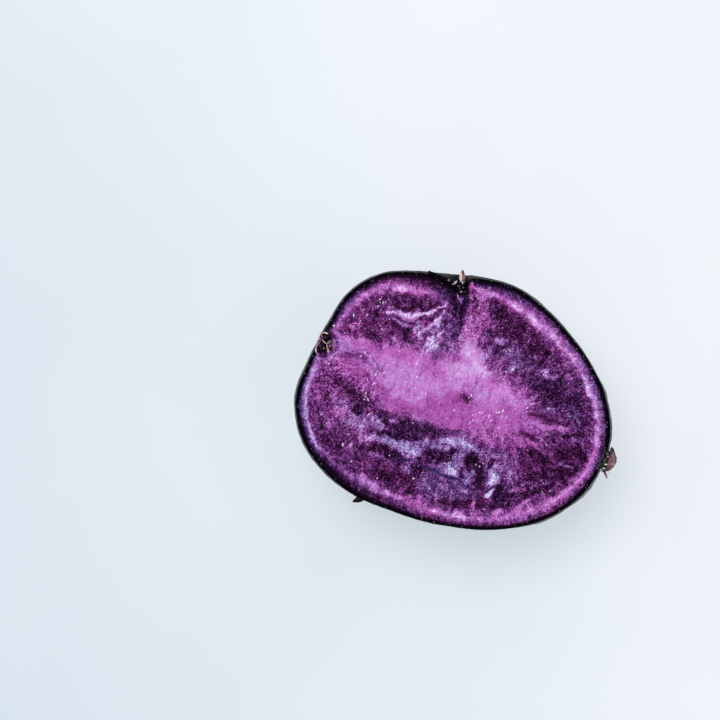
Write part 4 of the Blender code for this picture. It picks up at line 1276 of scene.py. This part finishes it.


# Sap: starchy juice that stands on the cut in tiny beads, coloured near white as painted highlights of their
# glints
sap = {
    # where beads stand, X and Y in tenths of a millimetre; each has a turn and a size drawn for it
    "places": (
        -224, 105, -222, 98, -217, 84, -221, 75, -219, 64, -225, 50, -230, 46, -262, 49, -256, 39, -258, 31,
        -249, 21, -249, 12, -254, 3, -243, 3, -241, -39, -232, -35, -254, -56, -230, -54, -283, -42,
        -120, 52, -109, 36, -104, 68, -90, 21, -79, 20, -37, 57, -245, 60, -104, 105, 25, 23, 45, 9, 52, 14,
        48, -3, 47, -13, 75, -34, 81, -35, 56, -40, 56, -56, 48, -63, 101, -48, 104, -42, 89, -44, 123, -34,
        129, -35, 132, -32, 150, -48, 153, -45, 162, -55, 141, -30, 138, -44, 107, -57, 82, -77, 130, -77,
        3, -27, 210, -21, 150, 83, -265, 288, -244, 245, -265, 228, -255, 260, -309, 194, -209, 214,
        -204, 203, -182, 232, -153, 140, -284, 243, -341, 214, -347, 122, -237, 128, -251, 138, -264, 127,
        -209, 289, -208, 280, -200, 280, -193, 282, -215, 269, 252, -227, 257, -235, 276, -258, 253, -259,
        85, -178, 75, -188, 64, -182, 63, 243, 73, 265, 162, 143, -355, 105, -349, 88, -376, 76, -315, -125,
        -392, -129, -182, -156, -113, -222, -217, -221, -290, -173,
    ),
    "beadHalfWidth": (0.11, 0.20),
    "beadStretch": (1.2, 2.8),
    "beadTurn": (68, 26),      # degrees, and their spread
    "strewnHalfWidth": (0.04, 0.08),
    "strewn": 90,
    "rimGlints": 210,
    # near white of the beads, a painted highlight for their glints
    "colour": "#f7f2fc",
    "starchy": "#cbb4da",
    # bluish white of the rim's painted highlight specks
    "rimGlintColour": "#7d86a4",
}


def glintMaterial(name, code, roughness):
    # A clear wet bead over starch: pale, smooth, slightly milky; the pale colour is a painted highlight
    material, tree = newMaterial(name, roughness, 1.35)
    cloudy = addNode(tree, "TexNoise", Vector=objectPlace(tree), Scale=900.0, Detail=2.0)
    milky = addNode(tree, "MapRange", Value=cloudy, From_Min=0.3, From_Max=0.7)
    setShader(tree, Base_Color=mixColours(tree, milky, sap["starchy"], code))
    return material


def makeSap():
    rng = np.random.default_rng(44)
    x, y = (np.reshape(sap["places"], (-1, 2)) / 10).T
    size = rng.uniform(*sap["beadHalfWidth"], len(x))
    count = sap["strewn"]
    angle, reach = rng.uniform(0, math.tau, count), np.sqrt(rng.random(count))
    radius = reach * (outlineRadius(angle) - 1.5)
    x, y = np.append(x, radius * np.cos(angle)), np.append(y, radius * np.sin(angle))
    size = np.append(size, rng.uniform(*sap["strewnHalfWidth"], count))
    z = np.full(len(x), tuber["thickness"] + 0.01)
    halfSizes = np.stack([size * rng.uniform(*sap["beadStretch"], len(x)), size, size * 0.6], -1)
    turns = np.radians(rng.normal(*sap["beadTurn"], len(x)))
    shape = scatter(np.stack([x, y, z], -1), halfSizes, turns, 4, 8, 0.3, 45)
    makePiece("sap_beads_painted_glints", shape, glintMaterial("starchy potato sap bead, painted glint", sap["colour"], 0.15), {})
    # bluish white specks along the skin's rim, painted highlights where its edge catches the light, more to
    # the left and right
    count = sap["rimGlints"]
    angle = rng.uniform(0, math.tau, count)
    side = np.abs(np.cos(angle))
    keep = rng.random(count) < 0.35 + 0.65 * side
    angle = angle[keep]
    inward = np.abs(rng.normal(0.1, 0.75, len(angle)))
    radius = outlineRadius(angle) - 0.1 - inward
    z = tuber["thickness"] + 0.05 - 0.05 * (inward > 0.6)
    size = rng.uniform(0.04, 0.09, len(angle))
    halfSizes = np.stack([size * rng.uniform(1, 1.8, len(angle)), size, size * 0.7], -1)
    centres = np.stack([radius * np.cos(angle), radius * np.sin(angle), z], -1)
    shape = scatter(centres, halfSizes, angle + math.pi / 2, 4, 6, 0.15, 46)
    makePiece("rim_glints", shape, glintMaterial("painted highlight specks on the rim", sap["rimGlintColour"], 0.3), {})


# Stage: a pale board, soft window light from the upper left, a camera straight above
stage = {
    "floorHalfSize": 4.0,
    "floorPale": "#f0f5fb",
    # the board's colour, and its painted shade to the left
    "floorShade": "#d3dfeb",
    "floorGlow": 0.55,         # the share of the board's brightness that shadows don't take away
    # the glow bluer and the paint warmer, so that the board's shadows come out bluer
    "glowTint": (0.99, 1.03, 1.07, 1),
    "paintTint": (0.455, 0.435, 0.405, 1),
    "photoPixelMm": 0.2852,
    "photoSize": 720,
    "photoCentre": (-26.6, 11.6),   # the part's millimetres at the photo's middle
    "cameraAboveCut": 550.0,
    "sensorMm": 36.0,
    "skyStops": ((0.00, 0.42), (0.35, 0.70), (0.85, 0.78), (0.93, 0.20), (1.00, 0.12)),
    "keyPlace": (-0.34, 0.46, 1.40),
    "keySize": 0.90,
    "keyPower": 12.0,
}


def makeFloor():
    # A flat square of 12 by 12 faces
    steps = np.linspace(-stage["floorHalfSize"], stage["floorHalfSize"], 13)
    a, b = np.meshgrid(steps, steps, indexing="ij")
    quads = gridQuads(np.arange(a.size).reshape(a.shape))
    mesh = bpy.data.meshes.new("floor")
    mesh.from_pydata(flatPoints(a.ravel(), b.ravel()).tolist(), [], quads.tolist())
    # painted board, matt, greyer to the left as painted shade where less light falls, with a faint cloudiness
    material, tree = newMaterial("pale painted board", 0.8, 1.3)
    place = objectPlace(tree)
    across = addNode(tree, "SeparateXYZ", Vector=place)
    slant = timesPlus(tree, across.outputs["Y"], 0.35, across.outputs["X"])
    left = addNode(tree, "MapRange", Value=slant, From_Min=-0.20, From_Max=0.04, To_Min=1.0, To_Max=0.12)
    clouds = addNode(tree, "TexNoise", Vector=place, Scale=9.0, Detail=3.0)
    cloudy = addNode(tree, "MapRange", Value=clouds, From_Min=0.3, From_Max=0.7, To_Min=-0.12, To_Max=0.12)
    share = timesPlus(tree, left, 1.0, cloudy, True)
    colour = mixColours(tree, share, stage["floorPale"], stage["floorShade"])
    setShader(tree, Base_Color=mixColours(tree, 1.0, colour, stage["paintTint"], "MULTIPLY"),
              Emission_Color=mixColours(tree, 1.0, colour, stage["glowTint"], "MULTIPLY"),
              Emission_Strength=stage["floorGlow"], Specular_IOR_Level=0.1)
    mesh.materials.append(material)
    floor = bpy.data.objects.new("floor", mesh)
    bpy.context.scene.collection.objects.link(floor)


def makeLights():
    world = bpy.data.worlds.new("soft room")
    bpy.context.scene.world = world
    world.use_nodes = True
    tree = world.node_tree
    # bright round about, dim straight above, where the camera and its stand take the light away
    place = addNode(tree, "TexCoord").outputs["Generated"]
    height = addNode(tree, "SeparateXYZ", Vector=place).outputs["Z"]
    curve = addNode(tree, "ValToRGB", Fac=height)
    setStops(curve, stage["skyStops"])
    link(tree, curve, tree.nodes["Background"].inputs["Color"])
    key = bpy.data.lights.new("window", "AREA")
    key.shape = "DISK"
    key.size = stage["keySize"]
    key.energy = stage["keyPower"]
    window = bpy.data.objects.new("window", key)
    bpy.context.scene.collection.objects.link(window)
    window.location = stage["keyPlace"]
    # an area light shines along its own -Z, so its Z points away from the part
    x, y, z = stage["keyPlace"]
    window.rotation_euler = (math.atan2(math.hypot(x, y), z), 0, math.atan2(y, x) + math.pi / 2)


def makeCamera():
    data = bpy.data.cameras.new("overhead")
    data.sensor_width = stage["sensorMm"]
    field = stage["photoSize"] * stage["photoPixelMm"]
    data.lens = stage["sensorMm"] * stage["cameraAboveCut"] / field
    camera = bpy.data.objects.new("overhead", data)
    bpy.context.scene.collection.objects.link(camera)
    x, y = stage["photoCentre"]
    camera.location = (x * mm, y * mm, (tuber["thickness"] + stage["cameraAboveCut"]) * mm)
    bpy.context.scene.camera = camera


for make in (
    makeFlesh, makeSkin, makeCutBud, makeCrumbs, makeScar, makeEndBud, makeFlap, makeBellyBuds, makeSap,
    makeFloor, makeLights, makeCamera,
):
    make()
bpy.context.scene.view_settings.view_transform = "Standard"
print("stage ready")
